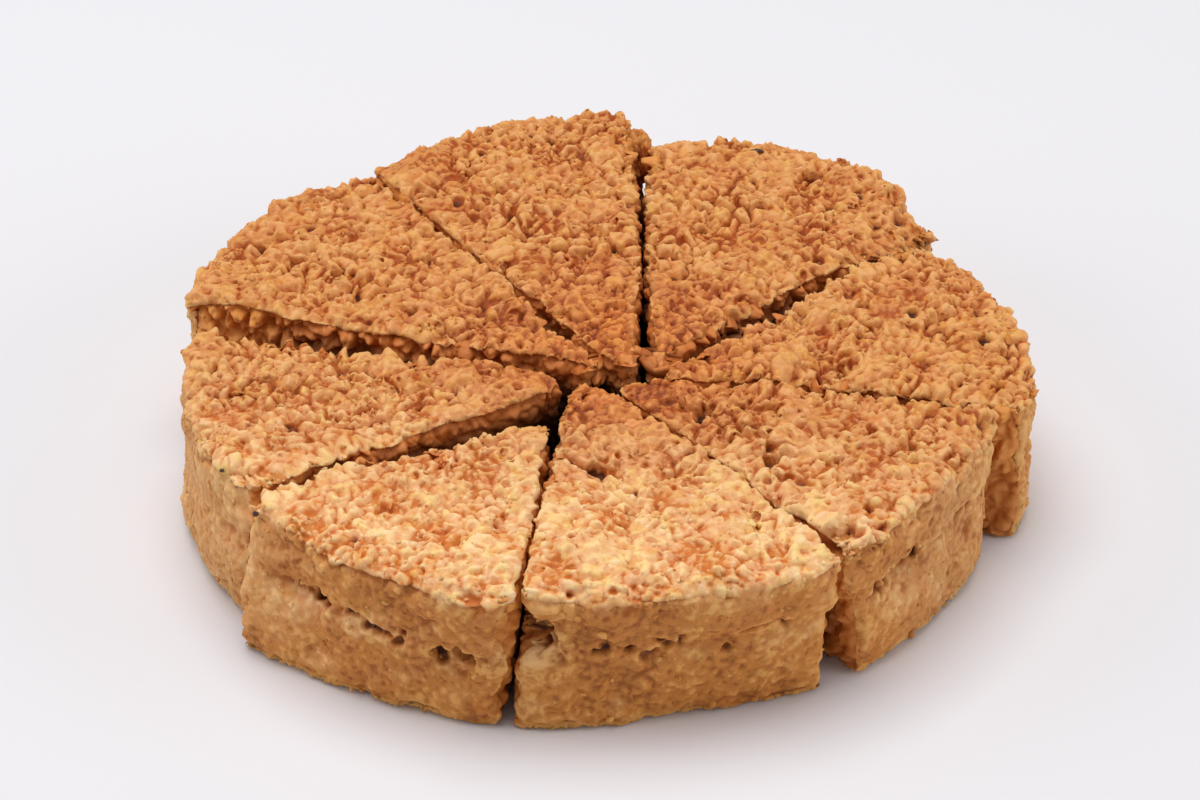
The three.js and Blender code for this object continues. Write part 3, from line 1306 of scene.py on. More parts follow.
@dataclass
class StuckClumps:
    """The lumps of crumbs that cling in the gaps, all in one mesh. They are coloured dark as painted shade,
    and most lie low in the gaps as dark fill where there is only shade.
    """

    name: str
    clumps: tuple[Clump, ...]
    broad_lumps: float = 0.4
    fine_lumps: float = 0.2
    tint: float = 0.5

    def build(self, finish: "FudgeFinish") -> bpy.types.Object:
        """Makes every clump and puts them into the scene as one piece.

        Args:
            finish: The finish of the fudge.

        Returns:
            The finished piece.
        """
        whole = bmesh.new()
        crowns, depths = [], []
        for clump in self.clumps:
            place = Vector(clump.place)
            for vert in bmesh.ops.create_icosphere(whole, subdivisions=4, radius=1.0)["verts"]:
                broad = noise.noise((vert.co + place) * 1.3)
                fine = noise.noise(vert.co * 4.5 + place) + 0.5 * noise.noise(vert.co * 9 + place)
                size = 1 + self.broad_lumps * broad + self.fine_lumps * fine
                spot = Vector(c * r for c, r in zip(vert.co * size, clump.radii))
                vert.co = MIDDLE + (spot + place) * MM
                vert.co.z = max(vert.co.z, 0.02 * MM)
                # Darker in the lumps' own dips and by each clump's depth: painted shade.
                crowns.append(clump.crown + 0.5 * fine)
                depths.append(clump.depth - max(0.0, -fine))
        bmesh.ops.recalc_face_normals(whole, faces=whole.faces)
        mesh = finished(self.name, whole)
        plain = np.zeros(len(crowns))
        store_layers(mesh, {"crown": np.array(crowns), "depth": np.array(depths),
                            "tint": plain + self.tint, "wall": plain, "cut": plain})
        return placed(mesh, finish)


@dataclass(frozen=True)
class DarkSpecks:
    """The few dark specks and the burnt flake on the cake. Lengths are in millimetres.

    Each row is a place, the half sizes of what lies there, and how far its ends bend down.
    """

    specks: tuple[tuple, ...] = (
        ((-76.2, -47.0, 34.8), (0.5, 0.45, 0.35), 0.0),
        ((-68.4, -60.7, 33.4), (0.6, 0.5, 0.6), 0.0),
        ((-18.6, 47.5, 37.2), (0.35, 0.35, 0.3), 0.0),
        ((-35.9, 59.7, 37.2), (0.35, 0.3, 0.3), 0.0),
        ((37.5, 77.7, 36.6), (1.9, 0.6, 0.4), 0.5))
    tone: tuple = linear(46, 28, 20)
    paler: tuple = linear(92, 60, 40)
    roughness: float = 0.55

    def build(self, skins: list[Skin]) -> bpy.types.Object:
        """Makes the specks and the flake as one piece, lying on the surface.

        Args:
            skins: The surfaces of the slices.

        Returns:
            The finished piece.
        """
        surface = np.concatenate([skin.shell.points for skin in skins])
        normals = np.concatenate([skin.shell.normals for skin in skins])
        whole = bmesh.new()
        for place, radii, bend in self.specks:
            wanted = np.array(place) * MM + np.array(MIDDLE)
            nearest = np.linalg.norm(surface - wanted, axis=1).argmin()
            spot = Vector(surface[nearest] + normals[nearest] * radii[2] * 0.5 * MM)
            self.add_lump(whole, spot, radii, bend)
        mesh = finished("dark_specks", whole)
        mesh.shade_smooth()
        mesh.materials.append(self.material())
        piece = added("dark_specks", mesh)
        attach(piece, "root")
        return piece

    def add_lump(self, whole: bmesh.types.BMesh, spot: Vector, radii: tuple, bend: float) -> None:
        """Adds one rough lump, bent downwards at its ends.

        Args:
            whole: The mesh that takes it.
            spot: Where it lies, in metres.
            radii: Its half sizes.
            bend: How far its ends bend down.
        """
        made = bmesh.ops.create_icosphere(whole, subdivisions=3, radius=1.0)
        for vert in made["verts"]:
            rough = 1 + 0.3 * noise.noise(vert.co * 2.2 + spot * 1000)
            local = Vector(c * r * rough for c, r in zip(vert.co, radii))
            local.z -= bend * (local.x / radii[0]) ** 2
            vert.co = spot + local * MM

    def material(self) -> bpy.types.Material:
        """Makes the burnt finish of the specks."""
        burnt, shader = new_material("burnt_speck")
        sheet = NodeSheet(burnt.node_tree)
        grain = sheet.noise(sheet.add("ShaderNodeTexCoord").outputs["Object"], 0.5 * MM, 3)
        tone = sheet.mix(sheet.ranged(grain, 0.3, 0.7), self.tone, self.paler)
        burnt.node_tree.links.new(tone, shader.inputs["Base Color"])
        shader.inputs["Roughness"].default_value = self.roughness
        return burnt


@dataclass
class NodeSheet:
    """A short way to write a material's nodes."""

    tree: bpy.types.NodeTree

    def add(self, kind: str, inputs: dict | None = None, **settings: object) -> bpy.types.Node:
        """Adds a node, sets it up and links its inputs.

        Args:
            kind: The node's type.
            inputs: Values or sockets for its inputs, by name or number.
            **settings: Properties of the node.

        Returns:
            The node.
        """
        node = self.tree.nodes.new(kind)
        for name, value in settings.items():
            setattr(node, name, value)
        for key, value in (inputs or {}).items():
            if isinstance(value, bpy.types.NodeSocket):
                self.tree.links.new(value, node.inputs[key])
            else:
                node.inputs[key].default_value = value
        return node

    def layer(self, name: str) -> bpy.types.NodeSocket:
        """Reads one of the mesh's own layers.

        Args:
            name: The layer's name.

        Returns:
            Its value.
        """
        return self.add("ShaderNodeAttribute", attribute_name=name).outputs["Fac"]

    def ranged(self, value: bpy.types.NodeSocket, low: float, high: float, to_low: float = 0.0,
               to_high: float = 1.0) -> bpy.types.NodeSocket:
        """Maps a range of values to another, held to its ends.

        Args:
            value: The value to map.
            low: Where the range starts.
            high: Where it ends.
            to_low: What low becomes.
            to_high: What high becomes.

        Returns:
            The mapped value.
        """
        inputs = {"Value": value, "From Min": low, "From Max": high, "To Min": to_low, "To Max": to_high}
        return self.add("ShaderNodeMapRange", inputs, interpolation_type="SMOOTHSTEP").outputs["Result"]

    def along(self, value: bpy.types.NodeSocket, span: tuple[float, float]) -> bpy.types.NodeSocket:
        """Goes from 0 at the first length of a span to 1 at the second, both in millimetres."""
        return self.ranged(value, span[0] * MM, span[1] * MM)

    def mix(self, share: object, first: object, second: object, how: str = "MIX") -> bpy.types.NodeSocket:
        """Mixes two colours.

        Args:
            share: How much of the second colour shows.
            first: The first colour.
            second: The second colour.
            how: The way of mixing.

        Returns:
            The mixed colour.
        """
        inputs = {0: share, 6: first, 7: second}
        return self.add("ShaderNodeMix", inputs, data_type="RGBA", blend_type=how).outputs[2]

    def maths(self, how: str, *values: object) -> bpy.types.NodeSocket:
        """Works out one number from others.

        Args:
            how: The operation.
            *values: Its numbers or sockets.

        Returns:
            The result.
        """
        return self.add("ShaderNodeMath", dict(enumerate(values)), operation=how).outputs[0]

    def noise(self, place: bpy.types.NodeSocket, size: float, detail: float = 2.0) -> bpy.types.NodeSocket:
        """Makes soft noise with lumps of a size.

        Args:
            place: The coordinates.
            size: The lumps' size in metres.
            detail: How many finer layers it has.

        Returns:
            The noise, about 0.5 in the middle.
        """
        inputs = {"Vector": place, "Scale": 1 / size, "Detail": detail}
        return self.add("ShaderNodeTexNoise", inputs).outputs["Fac"]


@dataclass(frozen=True)
class Shades:
    """The colours of one part of the cake, from the crowns of its grains down to its crevices: paler crowns
    and darker crevices are partly the fudge's own tones and partly painted highlight and painted shade, and
    the last colour is painted shade for the deepest hollows.
    """

    pale: tuple
    body: tuple
    crevice: tuple
    # Painted shade for the deepest hollows.
    deep_shade: tuple


@dataclass(frozen=True)
class Tinge:
    """Spots that are tinged with another colour, size millimetres apart.

    shift moves their pattern, so that each tinge has spots of its own.
    """

    size: float
    shift: float
    colour: tuple[float, float, float, float]


@dataclass(frozen=True)
class FudgeFinish:
    """Set milk fudge: pale grains with caramel between them, browner at the middle and the back, with
    painted light and shade in its colours.

    Lengths are in millimetres, and a pair says where a change of colour starts and where it is full.
    The changes to the front's and the front wall's colours go along Y, the first of them turned a
    little by front_slant: the paler front top is partly the cake's own tone and partly painted light,
    and the darker front wall is painted shade. The one at the right end, a warmer and darker painted
    shade, goes along X, and those of the cut faces to the near black painted shade of the gaps and to
    ochre go along Z. Those to the middle's colours and to the rim go by the distance from the place
    named browned. The paler crowns and the darker crevices and hollows are partly the fudge's own
    tones and partly painted highlight and painted shade.
    """

    front: Shades = Shades(
        linear(249, 211, 152), linear(236, 180, 124), linear(212, 124, 52), linear(110, 52, 18))
    back: Shades = Shades(
        linear(228, 167, 101), linear(212, 141, 76), linear(172, 82, 18), linear(74, 30, 6))
    middle: Shades = Shades(
        linear(222, 140, 68), linear(193, 106, 44), linear(142, 60, 12), linear(56, 20, 4))
    side: Shades = Shades(
        linear(229, 179, 118), linear(211, 150, 86), linear(182, 116, 54), linear(88, 40, 10))
    # The front walls' colours, darker and browner than the side walls': painted shade.
    shaded_front_wall: Shades = Shades(
        linear(226, 162, 86), linear(201, 128, 53), linear(166, 96, 33), linear(76, 34, 8))
    lip: tuple = linear(206, 112, 40)
    # inner is the near black painted shade deep in the gaps between slices.
    inner: tuple = linear(58, 24, 6)
    outer_lip: tuple = linear(222, 138, 56)
    outer_low: tuple = linear(188, 106, 32)
    # A warmer, darker tint on the right end wall: painted shade.
    right_end_shade: tuple = (1.0, 0.93, 0.74, 1)
    pink: Tinge = Tinge(8, 0.3, (1.0, 0.93, 0.95, 1))
    yellow: Tinge = Tinge(3.4, 0.7, (1.0, 1.03, 0.82, 1))
    orange: Tinge = Tinge(3.2, 1.1, (1.0, 0.85, 0.6, 1))
    cream: Tinge = Tinge(2.6, 1.7, (1.02, 1.06, 1.2, 1))
    # The front top is paler than the back: partly its own tone, partly painted light.
    to_front_tone_and_light: tuple[float, float] = (-10, -82)
    front_slant: float = 0.17
    to_shaded_front_wall: tuple[float, float] = (-48, -74)
    browned: tuple[float, float, float] = (4, -8, 34)
    to_middle: tuple[float, float] = (50, 6)
    to_right_end_shade: tuple[float, float] = (70, 84)
    # Where the cut faces go down into the painted shade of the gaps.
    to_gap_shade: tuple[float, float] = (34, 26)
    to_ochre: tuple[float, float] = (34, 8)
    to_rim: tuple[float, float] = (70, 80)
    patch: float = 11.0
    speck: float = 1.3
    granule: float = 1.6
    fine_granule: float = 1.05
    grit: float = 0.55
    bump: float = 0.34
    roughness: float = 0.62
    shine: float = 0.35
    glow: float = 0.12
    glow_depth: float = 2.2

    def material(self) -> bpy.types.Material:
        """Gives the fudge's material, made once."""
        name = "granular_fudge"
        if name in bpy.data.materials:
            return bpy.data.materials[name]
        made, shader = new_material(name)
        sheet = NodeSheet(made.node_tree)
        place = sheet.add("ShaderNodeTexCoord").outputs["Object"]
        shader.inputs["Roughness"].default_value = self.roughness
        shader.inputs["Subsurface Weight"].default_value = self.glow
        shader.inputs["Subsurface Radius"].default_value = (1.0, 0.5, 0.25)
        shader.inputs["Subsurface Scale"].default_value = self.glow_depth * MM
        shader.inputs["Specular IOR Level"].default_value = self.shine
        made.node_tree.links.new(self.colour(sheet, place), shader.inputs["Base Color"])
        made.node_tree.links.new(self.relief(sheet, place), shader.inputs["Normal"])
        return made

    def colour(self, sheet: NodeSheet, place: bpy.types.NodeSocket) -> bpy.types.NodeSocket:
        """Builds the fudge's colour from its relief, its grains and its place on the cake, with painted
        light and shade from both the relief and the place.

        Args:
            sheet: The material's nodes.
            place: Object coordinates.

        Returns:
            The colour.
        """
        split = sheet.add("ShaderNodeSeparateXYZ", {0: place})
        slant = sheet.maths("MULTIPLY_ADD", split.outputs["X"], self.front_slant, split.outputs["Y"])
        # Paler towards the front: partly the cake's own tone, partly painted light.
        forward_tone_and_light = sheet.along(slant, self.to_front_tone_and_light)
        # Darker and browner on the front walls: painted shade.
        shaded_front_wall = sheet.along(split.outputs["Y"], self.to_shaded_front_wall)
        ends = {0: place, 1: tuple(MIDDLE + Vector(self.browned) * MM)}
        reach = sheet.add("ShaderNodeVectorMath", ends, operation="DISTANCE").outputs["Value"]
        inward = sheet.along(reach, self.to_middle)
        wall = sheet.layer("wall")
        parts = map(astuple, (self.back, self.front, self.middle, self.side, self.shaded_front_wall))
        tones = []
        for back, front, middle, side, low in zip(*parts):
            on_top = sheet.mix(inward, sheet.mix(forward_tone_and_light, back, front), middle)
            tones.append(sheet.mix(wall, on_top, sheet.mix(shaded_front_wall, side, low)))
        pale, body, crevice, deep_shade = tones
        lift = sheet.layer("crown")
        for part in (sheet.ranged(sheet.noise(place, self.speck * MM, 3), 0.3, 0.7, -0.1, 0.1),
                     sheet.ranged(sheet.noise(place, self.patch * MM, 3), 0.3, 0.7, -0.25, 0.25),
                     sheet.ranged(sheet.layer("tint"), 0.1, 0.9, -0.1, 0.1),
                     self.granules(sheet, place)):
            lift = sheet.maths("ADD", lift, part)
        # Paler on the crowns, darker caramel in the crevices: partly the fudge's own tones, partly painted
        # highlight and painted shade.
        tone = sheet.mix(sheet.ranged(lift, 0.02, 0.5), body, pale)
        tone = sheet.mix(sheet.ranged(lift, 0.02, -0.42), tone, crevice)
        tone = self.tinged(sheet, place, tone, lift, wall)
        # Warmer and darker on the right end wall: painted shade.
        right_end_shade = sheet.maths("MULTIPLY", wall, sheet.along(split.outputs["X"], self.to_right_end_shade))
        tone = sheet.mix(right_end_shade, tone, sheet.mix(1.0, tone, self.right_end_shade, "MULTIPLY"))
        # Darker where the surface lies deep below its surroundings: painted shade in hollows, cracks and
        # dents.
        tone = sheet.mix(sheet.ranged(sheet.layer("depth"), -0.5, -1.7), tone, deep_shade)
        on_cut = sheet.ranged(sheet.layer("cut"), 0.3, 0.8)
        return sheet.mix(on_cut, tone, self.cut_colour(sheet, split, reach, tone))

    def cut_colour(self, sheet: NodeSheet, split: bpy.types.Node, reach: bpy.types.NodeSocket,
                   tone: bpy.types.NodeSocket) -> bpy.types.NodeSocket:
        """Colours the cut faces: orange at the lip, partly their own caramel and partly painted shade,
        nearly black deep down as painted shade of the gaps, ochre at the rim.

        Args:
            sheet: The material's nodes.
            split: The place's three coordinates.
            reach: How far the place is from the middle of the top.
            tone: The colour of open faces.

        Returns:
            The colour.
        """
        # Nearly black deeper down between the slices: painted shade.
        dark = sheet.along(split.outputs["Z"], self.to_gap_shade)
        inner = sheet.mix(dark, sheet.mix(0.2, self.lip, tone), self.inner)
        ochre = sheet.along(split.outputs["Z"], self.to_ochre)
        outer = sheet.mix(0.25, sheet.mix(ochre, self.outer_lip, self.outer_low), tone)
        return sheet.mix(sheet.along(reach, self.to_rim), inner, outer)

    def granules(self, sheet: NodeSheet, place: bpy.types.NodeSocket) -> bpy.types.NodeSocket:
        """Gives each milk granule, smaller than the mesh's own grains, its own paleness.

        Args:
            sheet: The material's nodes.
            place: Object coordinates.

        Returns:
            How much paler or browner each granule is.
        """
        inputs = {"Vector": place, "Scale": 1 / (self.granule * MM), "Randomness": 1.0}
        cells = sheet.add("ShaderNodeTexVoronoi", inputs)
        own = sheet.add("ShaderNodeSeparateXYZ", {0: cells.outputs["Color"]}).outputs["X"]
        return sheet.ranged(own, 0.1, 0.9, -0.1, 0.1)

    def tinged(self, sheet: NodeSheet, place: bpy.types.NodeSocket, tone: bpy.types.NodeSocket,
               lift: bpy.types.NodeSocket, wall: bpy.types.NodeSocket) -> bpy.types.NodeSocket:
        """Tinges spots of the fudge towards pink, yellow, orange or cream, less so on the walls.

        Args:
            sheet: The material's nodes.
            place: Object coordinates.
            tone: The colour before.
            lift: How far the surface stands up: orange gathers in the hollows as painted shade and cream on
                the crowns as painted highlight, both partly the fudge's own tones.
            wall: 1 on the walls, 0 on the top.

        Returns:
            The tinged colour.
        """
        open_top = sheet.ranged(wall, 0, 1, 0.9, 0.3)
        # Orange in the hollows and cream on the crowns: partly the fudge's own tones, partly painted shade
        # and painted highlight.
        hollow = sheet.maths("MULTIPLY", open_top, sheet.ranged(lift, 0.3, -0.2, 0.35, 1))
        crown = sheet.maths("MULTIPLY", open_top, sheet.ranged(lift, -0.1, 0.3, 0.2, 1))
        for tinge, strength in (
                (self.pink, open_top), (self.yellow, open_top), (self.orange, hollow), (self.cream, crown)):
            shifted = {0: place, 1: (tinge.shift, tinge.shift, tinge.shift)}
            moved = sheet.add("ShaderNodeVectorMath", shifted, operation="ADD").outputs[0]
            spots = sheet.ranged(sheet.noise(moved, tinge.size * MM, 3), 0.5, 0.63)
            share = sheet.maths("MULTIPLY", spots, strength)
            tone = sheet.mix(share, tone, sheet.mix(1.0, tone, tinge.colour, "MULTIPLY"))
        return tone

    def relief(self, sheet: NodeSheet, place: bpy.types.NodeSocket) -> bpy.types.NodeSocket:
        """Adds the finest grit, below the size of the mesh's own relief.

        Args:
            sheet: The material's nodes.
            place: Object coordinates.

        Returns:
            The bumped normal.
        """
        inputs = {"Vector": place, "Scale": 1 / (self.fine_granule * MM)}
        cells = sheet.add("ShaderNodeTexVoronoi", inputs, feature="SMOOTH_F1")
        granules = {"Strength": self.bump, "Distance": 0.4 * MM, "Height": cells.outputs["Distance"]}
        coarse = sheet.add("ShaderNodeBump", granules, invert=True).outputs["Normal"]
        grit = sheet.noise(place, self.grit * MM, 4)
        inputs = {"Strength": self.bump, "Distance": 0.3 * MM, "Height": grit, "Normal": coarse}
        return sheet.add("ShaderNodeBump", inputs).outputs["Normal"]


def top(x: float, y: float, radius: float, depth: float, height: float = 36.0) -> Dent:
    """Places a dent on the cake's top."""
    return Dent((x, y, height), radius, depth)


def crack(path: tuple[tuple[float, float], ...], radius: float, depth: float,
          height: float = 36.0) -> tuple[Dent, ...]:
    """Lines up small dents along a path on the cake's top, so that they make one crevice.

    Args:
        path: Its corners, in millimetres from the cake's middle.
        radius: The dents' radius.
        depth: The dents' depth; where they overlap the crevice is twice as deep.
        height: How high the top is.

    Returns:
        The dents.
    """
    dents = []
    for (x, y), (next_x, next_y) in itertools.pairwise(path):
        steps = math.ceil(math.dist((x, y), (next_x, next_y)) / (0.7 * radius))
        for step in range(steps):
            along = step / steps
            dents.append(top(x + (next_x - x) * along, y + (next_y - y) * along, radius, depth, height))
    return tuple(dents)


@dataclass
class Cake:
    """The whole round, slice by slice, with what clings to it."""

    finish: FudgeFinish = field(default_factory=FudgeFinish)
    gaps: tuple[Gap, ...] = (
        Gap(("slice_back", "slice_back_left"), 2.0, 1.8),
        Gap(("slice_back_left", "slice_left"), 1.6, 2.6),
        Gap(("slice_left", "slice_front_left"), 0.4, 2.4),
        Gap(("slice_front_left", "slice_front"), 0.5, 1.6),
        Gap(("slice_front", "slice_front_right"), 1.4, 1.6),
        Gap(("slice_front_right", "slice_right"), 1.2, 1.4),
        Gap(("slice_right", "slice_back_right"), 1.5, 2.3),
        Gap(("slice_back_right", "slice_back"), 1.3, 0.8),
    )
    slices: list[Slice] = field(default_factory=lambda: [
        Slice("slice_back", 11, voxel=0.47, dents=(
            top(-10.9, 80.5, 1.6, 1.8, 38), top(-15.6, 83.7, 1.4, 1.7, 38), top(-31.5, 53.1, 1.8, 1.8, 38),
            top(-23.1, 52.7, 1.6, 1.9, 38), top(-26.4, 74.5, 1.6, 1.6, 38), top(-18.6, 47.5, 1.6, 1.6, 38))),
        Slice("slice_back_left", 12, dents=(
            top(-35.9, 59.7, 1.9, 1.7, 37), top(-65.2, 41.9, 2.0, 1.8, 37), top(-74.5, 36.8, 1.8, 1.8, 37),
            top(-52.0, 18.0, 3.2, 1.2, 37))),
        Slice("slice_left", 13, dents=(
            top(-47.0, -12.0, 2.8, 1.1), top(-62.0, -32.0, 2.6, 1.0))),
        Slice("slice_front_left", 14, ledges=(Ledge((-137, -102), (22.5, 18.0), 0.06, 1.5, 3.7),), dents=(
            top(-48.2, -69.8, 2.2, 1.3), top(-34.8, -68.9, 1.9, 1.2), top(-41.4, -75.4, 3.0, -0.7),
            Dent((-55.6, -70.1, 20.9), 2.1, 2.4), Dent((-53.6, -71.6, 20.0), 1.4, 1.6),
            Dent((-26.7, -85.4, 17.6), 1.9, 2.2), Dent((-30.7, -84.1, 17.8), 1.9, 2.2),
            Dent((-30.0, -84.4, 15.4), 1.5, 1.9), Dent((-24.8, -85.9, 17.2), 1.5, 1.8),
            Dent((-38.5, -80.8, 18.0), 1.5, 1.4), Dent((-44.5, -77.6, 18.8), 1.6, 1.4))),
        Slice("slice_front", 15, ledges=(Ledge((-99, -62), (23.5, 22.0), 0.14, 1.7, 3.5),), dents=(
            *crack(((-6.0, -43.2), (-3.0, -44.6), (0.4, -46.2), (5.6, -48.6)), 1.8, 0.95),
            top(7.4, -54.8, 1.5, 1.1), top(0.9, -54.5, 2.0, 0.8), top(7.5, -61.6, 1.6, 1.6),
            top(9.0, -56.2, 1.3, 0.9), top(-0.6, -42.6, 2.6, -0.8), top(3.6, -44.2, 2.6, -0.8),
            top(-7.0, -75.4, 3.4, -0.9),
            Dent((-12.8, -88.6, 24.4), 4.2, 3.0, (0.85, 0.5, 0.0)), Dent((-11.0, -89.0, 24.2), 2.8, 1.6),
            Dent((-10.6, -91.2, 32.5), 3.6, -1.0),
            Dent((9.7, -88.0, 18.9), 1.9, 1.3), Dent((14.2, -87.2, 21.6), 1.6, 1.2),
            Dent((12.0, -88.4, 20.0), 1.2, 0.9), Dent((1.9, -89.0, 22.3), 1.6, 1.1),
            Dent((-7.7, -89.0, 18.6), 3.0, 1.1), Dent((26.0, -84.2, 18.4), 1.5, 0.9))),
        Slice("slice_front_right", 16, ledges=(Ledge((-55, -24), (21.0, 22.5)),), dents=(
            top(21.8, -26.8, 2.7, 2.6, 35), top(24.8, -26.0, 2.3, 2.2, 35), top(30.1, -26.3, 2.0, 1.4),
            top(36.6, -43.2, 2.2, 2.3, 35), top(38.9, -42.8, 1.9, 2.0, 35), top(37.6, -39.8, 2.8, -0.9),
            top(81.7, -21.9, 2.6, -1.3, 35), top(84.5, -25.5, 2.4, -1.3, 34),
            top(78.0, -28.6, 2.8, -1.0, 35), top(36.6, -49.4, 2.6, -0.9), top(40.2, -55.0, 3.0, -1.1),
            top(43.4, -60.6, 3.2, -1.2), top(46.6, -65.6, 3.0, -1.0), top(41.0, -51.0, 1.8, 1.2),
            top(45.4, -57.4, 1.8, 1.2), top(48.5, -70.5, 6.0, 2.4, 35),
            Dent((60.3, -66.1, 21.3), 2.0, 2.1), Dent((65.7, -60.8, 22.3), 2.2, 2.1))),
        Slice("slice_right", 17, dents=(
            top(48.0, -12.6, 2.3, 2.6), top(51.5, -10.3, 2.0, 2.3), top(45.3, -14.8, 2.0, 2.0),
            top(54.5, -8.4, 1.6, 1.2), top(69.0, 9.1, 2.4, 1.8), top(83.7, -1.1, 2.2, 1.7))),
        Slice("slice_back_right", 18, voxel=0.46, dents=(
            top(30.2, 9.4, 2.7, 2.6), top(27.4, 8.8, 2.0, 1.8), top(42.5, 17.6, 2.2, 1.6),
            top(53.5, 54.4, 2.2, 1.6),
            *crack(((58.6, 63.8), (62.3, 57.2), (64.5, 48.4), (65.2, 39.4)), 1.5, 0.35, 37),
            top(74.0, 53.0, 8.0, 2.0, 35), top(18.1, -3.0, 1.6, 1.0))),
    ])
    grains: tuple[LooseGrains, ...] = (
        LooseGrains("pale_grains", 31, 2200, 0.25, 0.75, 0.22, sunk=0.5),
        LooseGrains("tan_grains", 32, 2400, 0.25, 0.8, 0.04, sunk=0.5),
        LooseGrains("caramel_grains", 33, 1800, 0.25, 0.65, -0.16, sunk=0.5),
        LooseGrains("wall_crumbs", 34, 0, 0.5, 1.1, 0.4, sunk=0.45, flatness=1.0, fineness=2, places=(
            (-6.7, -89.3, 30.5), (-3.2, -89.4, 29.6), (1.3, -89.5, 26.0), (-4.4, -89.4, 22.9),
            (-8.9, -89.1, 14.8), (-7.6, -89.1, 14.0), (2.5, -89.5, 12.8), (36.3, -81.8, 5.9),
            (34.6, -82.6, 7.2), (39.7, -80.2, 32.0), (8.7, -89.1, 26.9), (20.4, -87.1, 25.8),
            (27.5, -85.2, 18.2), (-2.1, -89.5, 9.5), (36.0, -81.8, 26.5), (-60.5, -66.0, 22.5),
            (-58.9, -67.5, 22.0), (-45.0, -77.4, 24.0), (-33.0, -83.2, 17.0), (-24.0, -86.3, 14.2),
            (66.0, -60.5, 24.5), (58.4, -67.8, 18.0), (57.5, -68.6, 14.0))),
        LooseGrains("foot_crumbs", 35, 0, 0.6, 1.1, 0.3, sunk=0.1, flatness=0.85, fineness=2, places=(
            (-47.7, -77.4, 0.7), (-49.5, -76.0, 0.7), (-28.0, -85.5, 0.7), (2.5, -92.6, 0.7),
            (22.0, -88.6, 0.7), (31.5, -85.2, 0.7), (67.0, -60.0, 0.7))),
    )
    # Near the back rim these are lumps of the cake; lower in the gaps and in the middle they are dark fill:
    # painted shade.
    gap_lumps_and_shade: StuckClumps = field(default_factory=lambda: StuckClumps("gap_lumps_and_shade", (
        Clump((9.6, 88.0, 31.5), (3.1, 2.6, 4.6), crown=-0.1, depth=-0.2),
        Clump((12.2, 83.5, 29.5), (2.0, 2.8, 5.0), crown=-0.25, depth=-0.5),
        Clump((8.8, 84.0, 26.0), (2.3, 3.0, 3.8), crown=-0.25, depth=-0.8),
        Clump((9.6, 82.0, 13.0), (2.4, 3.4, 10.0), crown=-0.35, depth=-1.4),
        Clump((11.4, 76.0, 10.0), (2.2, 6.0, 14.0), crown=-0.35, depth=-1.4),
        Clump((10.4, 66.0, 6.0), (2.0, 8.0, 13.0), crown=-0.35, depth=-1.5),
        Clump((10.1, 60.0, 4.0), (1.6, 16.0, 6.5), crown=-0.35, depth=-1.5),
        Clump((10.4, 30.0, 2.5), (1.7, 18.0, 5.0), crown=-0.35, depth=-1.6),
        Clump((10.0, 5.0, 1.5), (1.8, 12.0, 4.0), crown=-0.35, depth=-1.6),
        Clump((6.0, -15.5, 1.0), (6.0, 2.6, 3.0), crown=-0.35, depth=-1.6))))
    specks: DarkSpecks = field(default_factory=DarkSpecks)

    def build(self, frame: dict) -> None:
        """Builds every slice, and then what lies on them and clings to them.

        Args:
            frame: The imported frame.
        """
        skins = [part.build(self.finish, frame, self.gaps) for part in self.slices]
        pieces = [kind.build(skins, self.finish) for kind in self.grains]
        pieces += [self.gap_lumps_and_shade.build(self.finish), self.specks.build(skins)]
        for piece in pieces:
            log.info("%s: %d faces", piece.name, len(piece.data.polygons))


@dataclass(frozen=True)
class Lamp:
    """One soft square lamp: where it hangs and what side it has, in metres, and its power in watts."""

    name: str
    place: tuple[float, float, float]
    size: float
    watts: float
    aim: tuple[float, float, float] = (0, 0, 0)

    def hang(self) -> None:
        """Hangs the lamp, turned towards what it lights."""
        data = bpy.data.lights.new(self.name, "AREA")
        data.size = self.size
        data.energy = self.watts
        lamp = added(self.name, data)
        lamp.location = self.place
        lamp.rotation_euler = (Vector(self.aim) - Vector(self.place)).to_track_quat("-Z", "Y").to_euler()


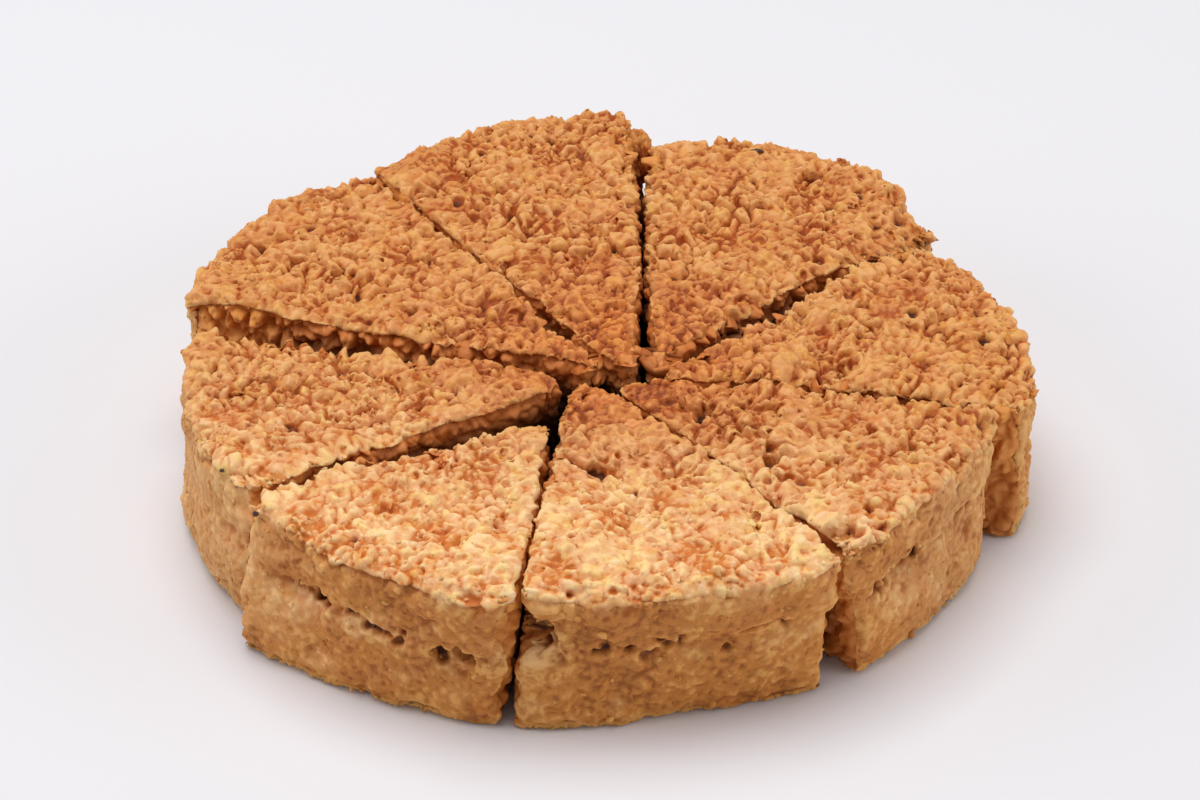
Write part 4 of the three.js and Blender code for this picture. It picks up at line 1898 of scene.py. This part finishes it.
@dataclass(frozen=True)
class Studio:
    """A plain pale floor, soft light and the camera."""

    floor_tone: tuple = linear(231, 230, 234)
    elevation: float = 34.8
    distance: float = 761 * MM
    lens: float = 100.0
    aim: Vector = field(default_factory=lambda: MIDDLE + Vector((0.9, 28.1, 0)) * MM)
    surroundings: tuple[float, float, float, float] = (1.0, 0.99, 0.98, 1)
    surroundings_strength: float = 0.3
    lamps: tuple[Lamp, ...] = (
        Lamp("overhead", (-0.15, 0.15, 1.4), 1.1, 15.5),
        Lamp("left_window", (-1.3, -0.1, 0.55), 0.8, 4.4, (0, 0, 0.02)),
        Lamp("right_window", (1.3, -0.3, 0.5), 0.8, 5.5, (0, 0, 0.02)),
    )

    def floor(self) -> None:
        """Lays a wide pale floor just under the cake."""
        plane = bmesh.new()
        bmesh.ops.create_grid(plane, x_segments=1, y_segments=1, size=4.0)
        mesh = finished("floor", plane)
        tone, shader = new_material("floor")
        shader.inputs["Base Color"].default_value = self.floor_tone
        shader.inputs["Roughness"].default_value = 0.8
        shader.inputs["Specular IOR Level"].default_value = 0.1
        mesh.materials.append(tone)
        ground = added("floor", mesh)

    def light(self) -> None:
        """Lights the cake from above and in front, with pale surroundings."""
        world = bpy.data.worlds.new("surroundings")
        world.use_nodes = True
        air = world.node_tree.nodes["Background"]
        air.inputs["Color"].default_value = self.surroundings
        air.inputs["Strength"].default_value = self.surroundings_strength
        bpy.context.scene.world = world
        for lamp in self.lamps:
            lamp.hang()
        bpy.context.scene.view_settings.view_transform = "Standard"

    def camera(self) -> None:
        """Sets the camera at the photograph's angle."""
        data = bpy.data.cameras.new("camera")
        data.lens = self.lens
        data.sensor_width = 36.0
        tilt = math.radians(self.elevation)
        camera = added("camera", data)
        camera.location = self.aim + Vector((0, -math.cos(tilt), math.sin(tilt))) * self.distance
        camera.rotation_euler = (math.pi / 2 - tilt, 0, 0)
        bpy.context.scene.camera = camera


def main() -> None:
    """Builds the cake in its studio."""
    logging.basicConfig(level=logging.INFO, format="%(message)s")
    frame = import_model()
    Cake().build(frame)
    studio = Studio()
    studio.floor()
    studio.light()
    studio.camera()


if __name__ == "__main__":
    main()
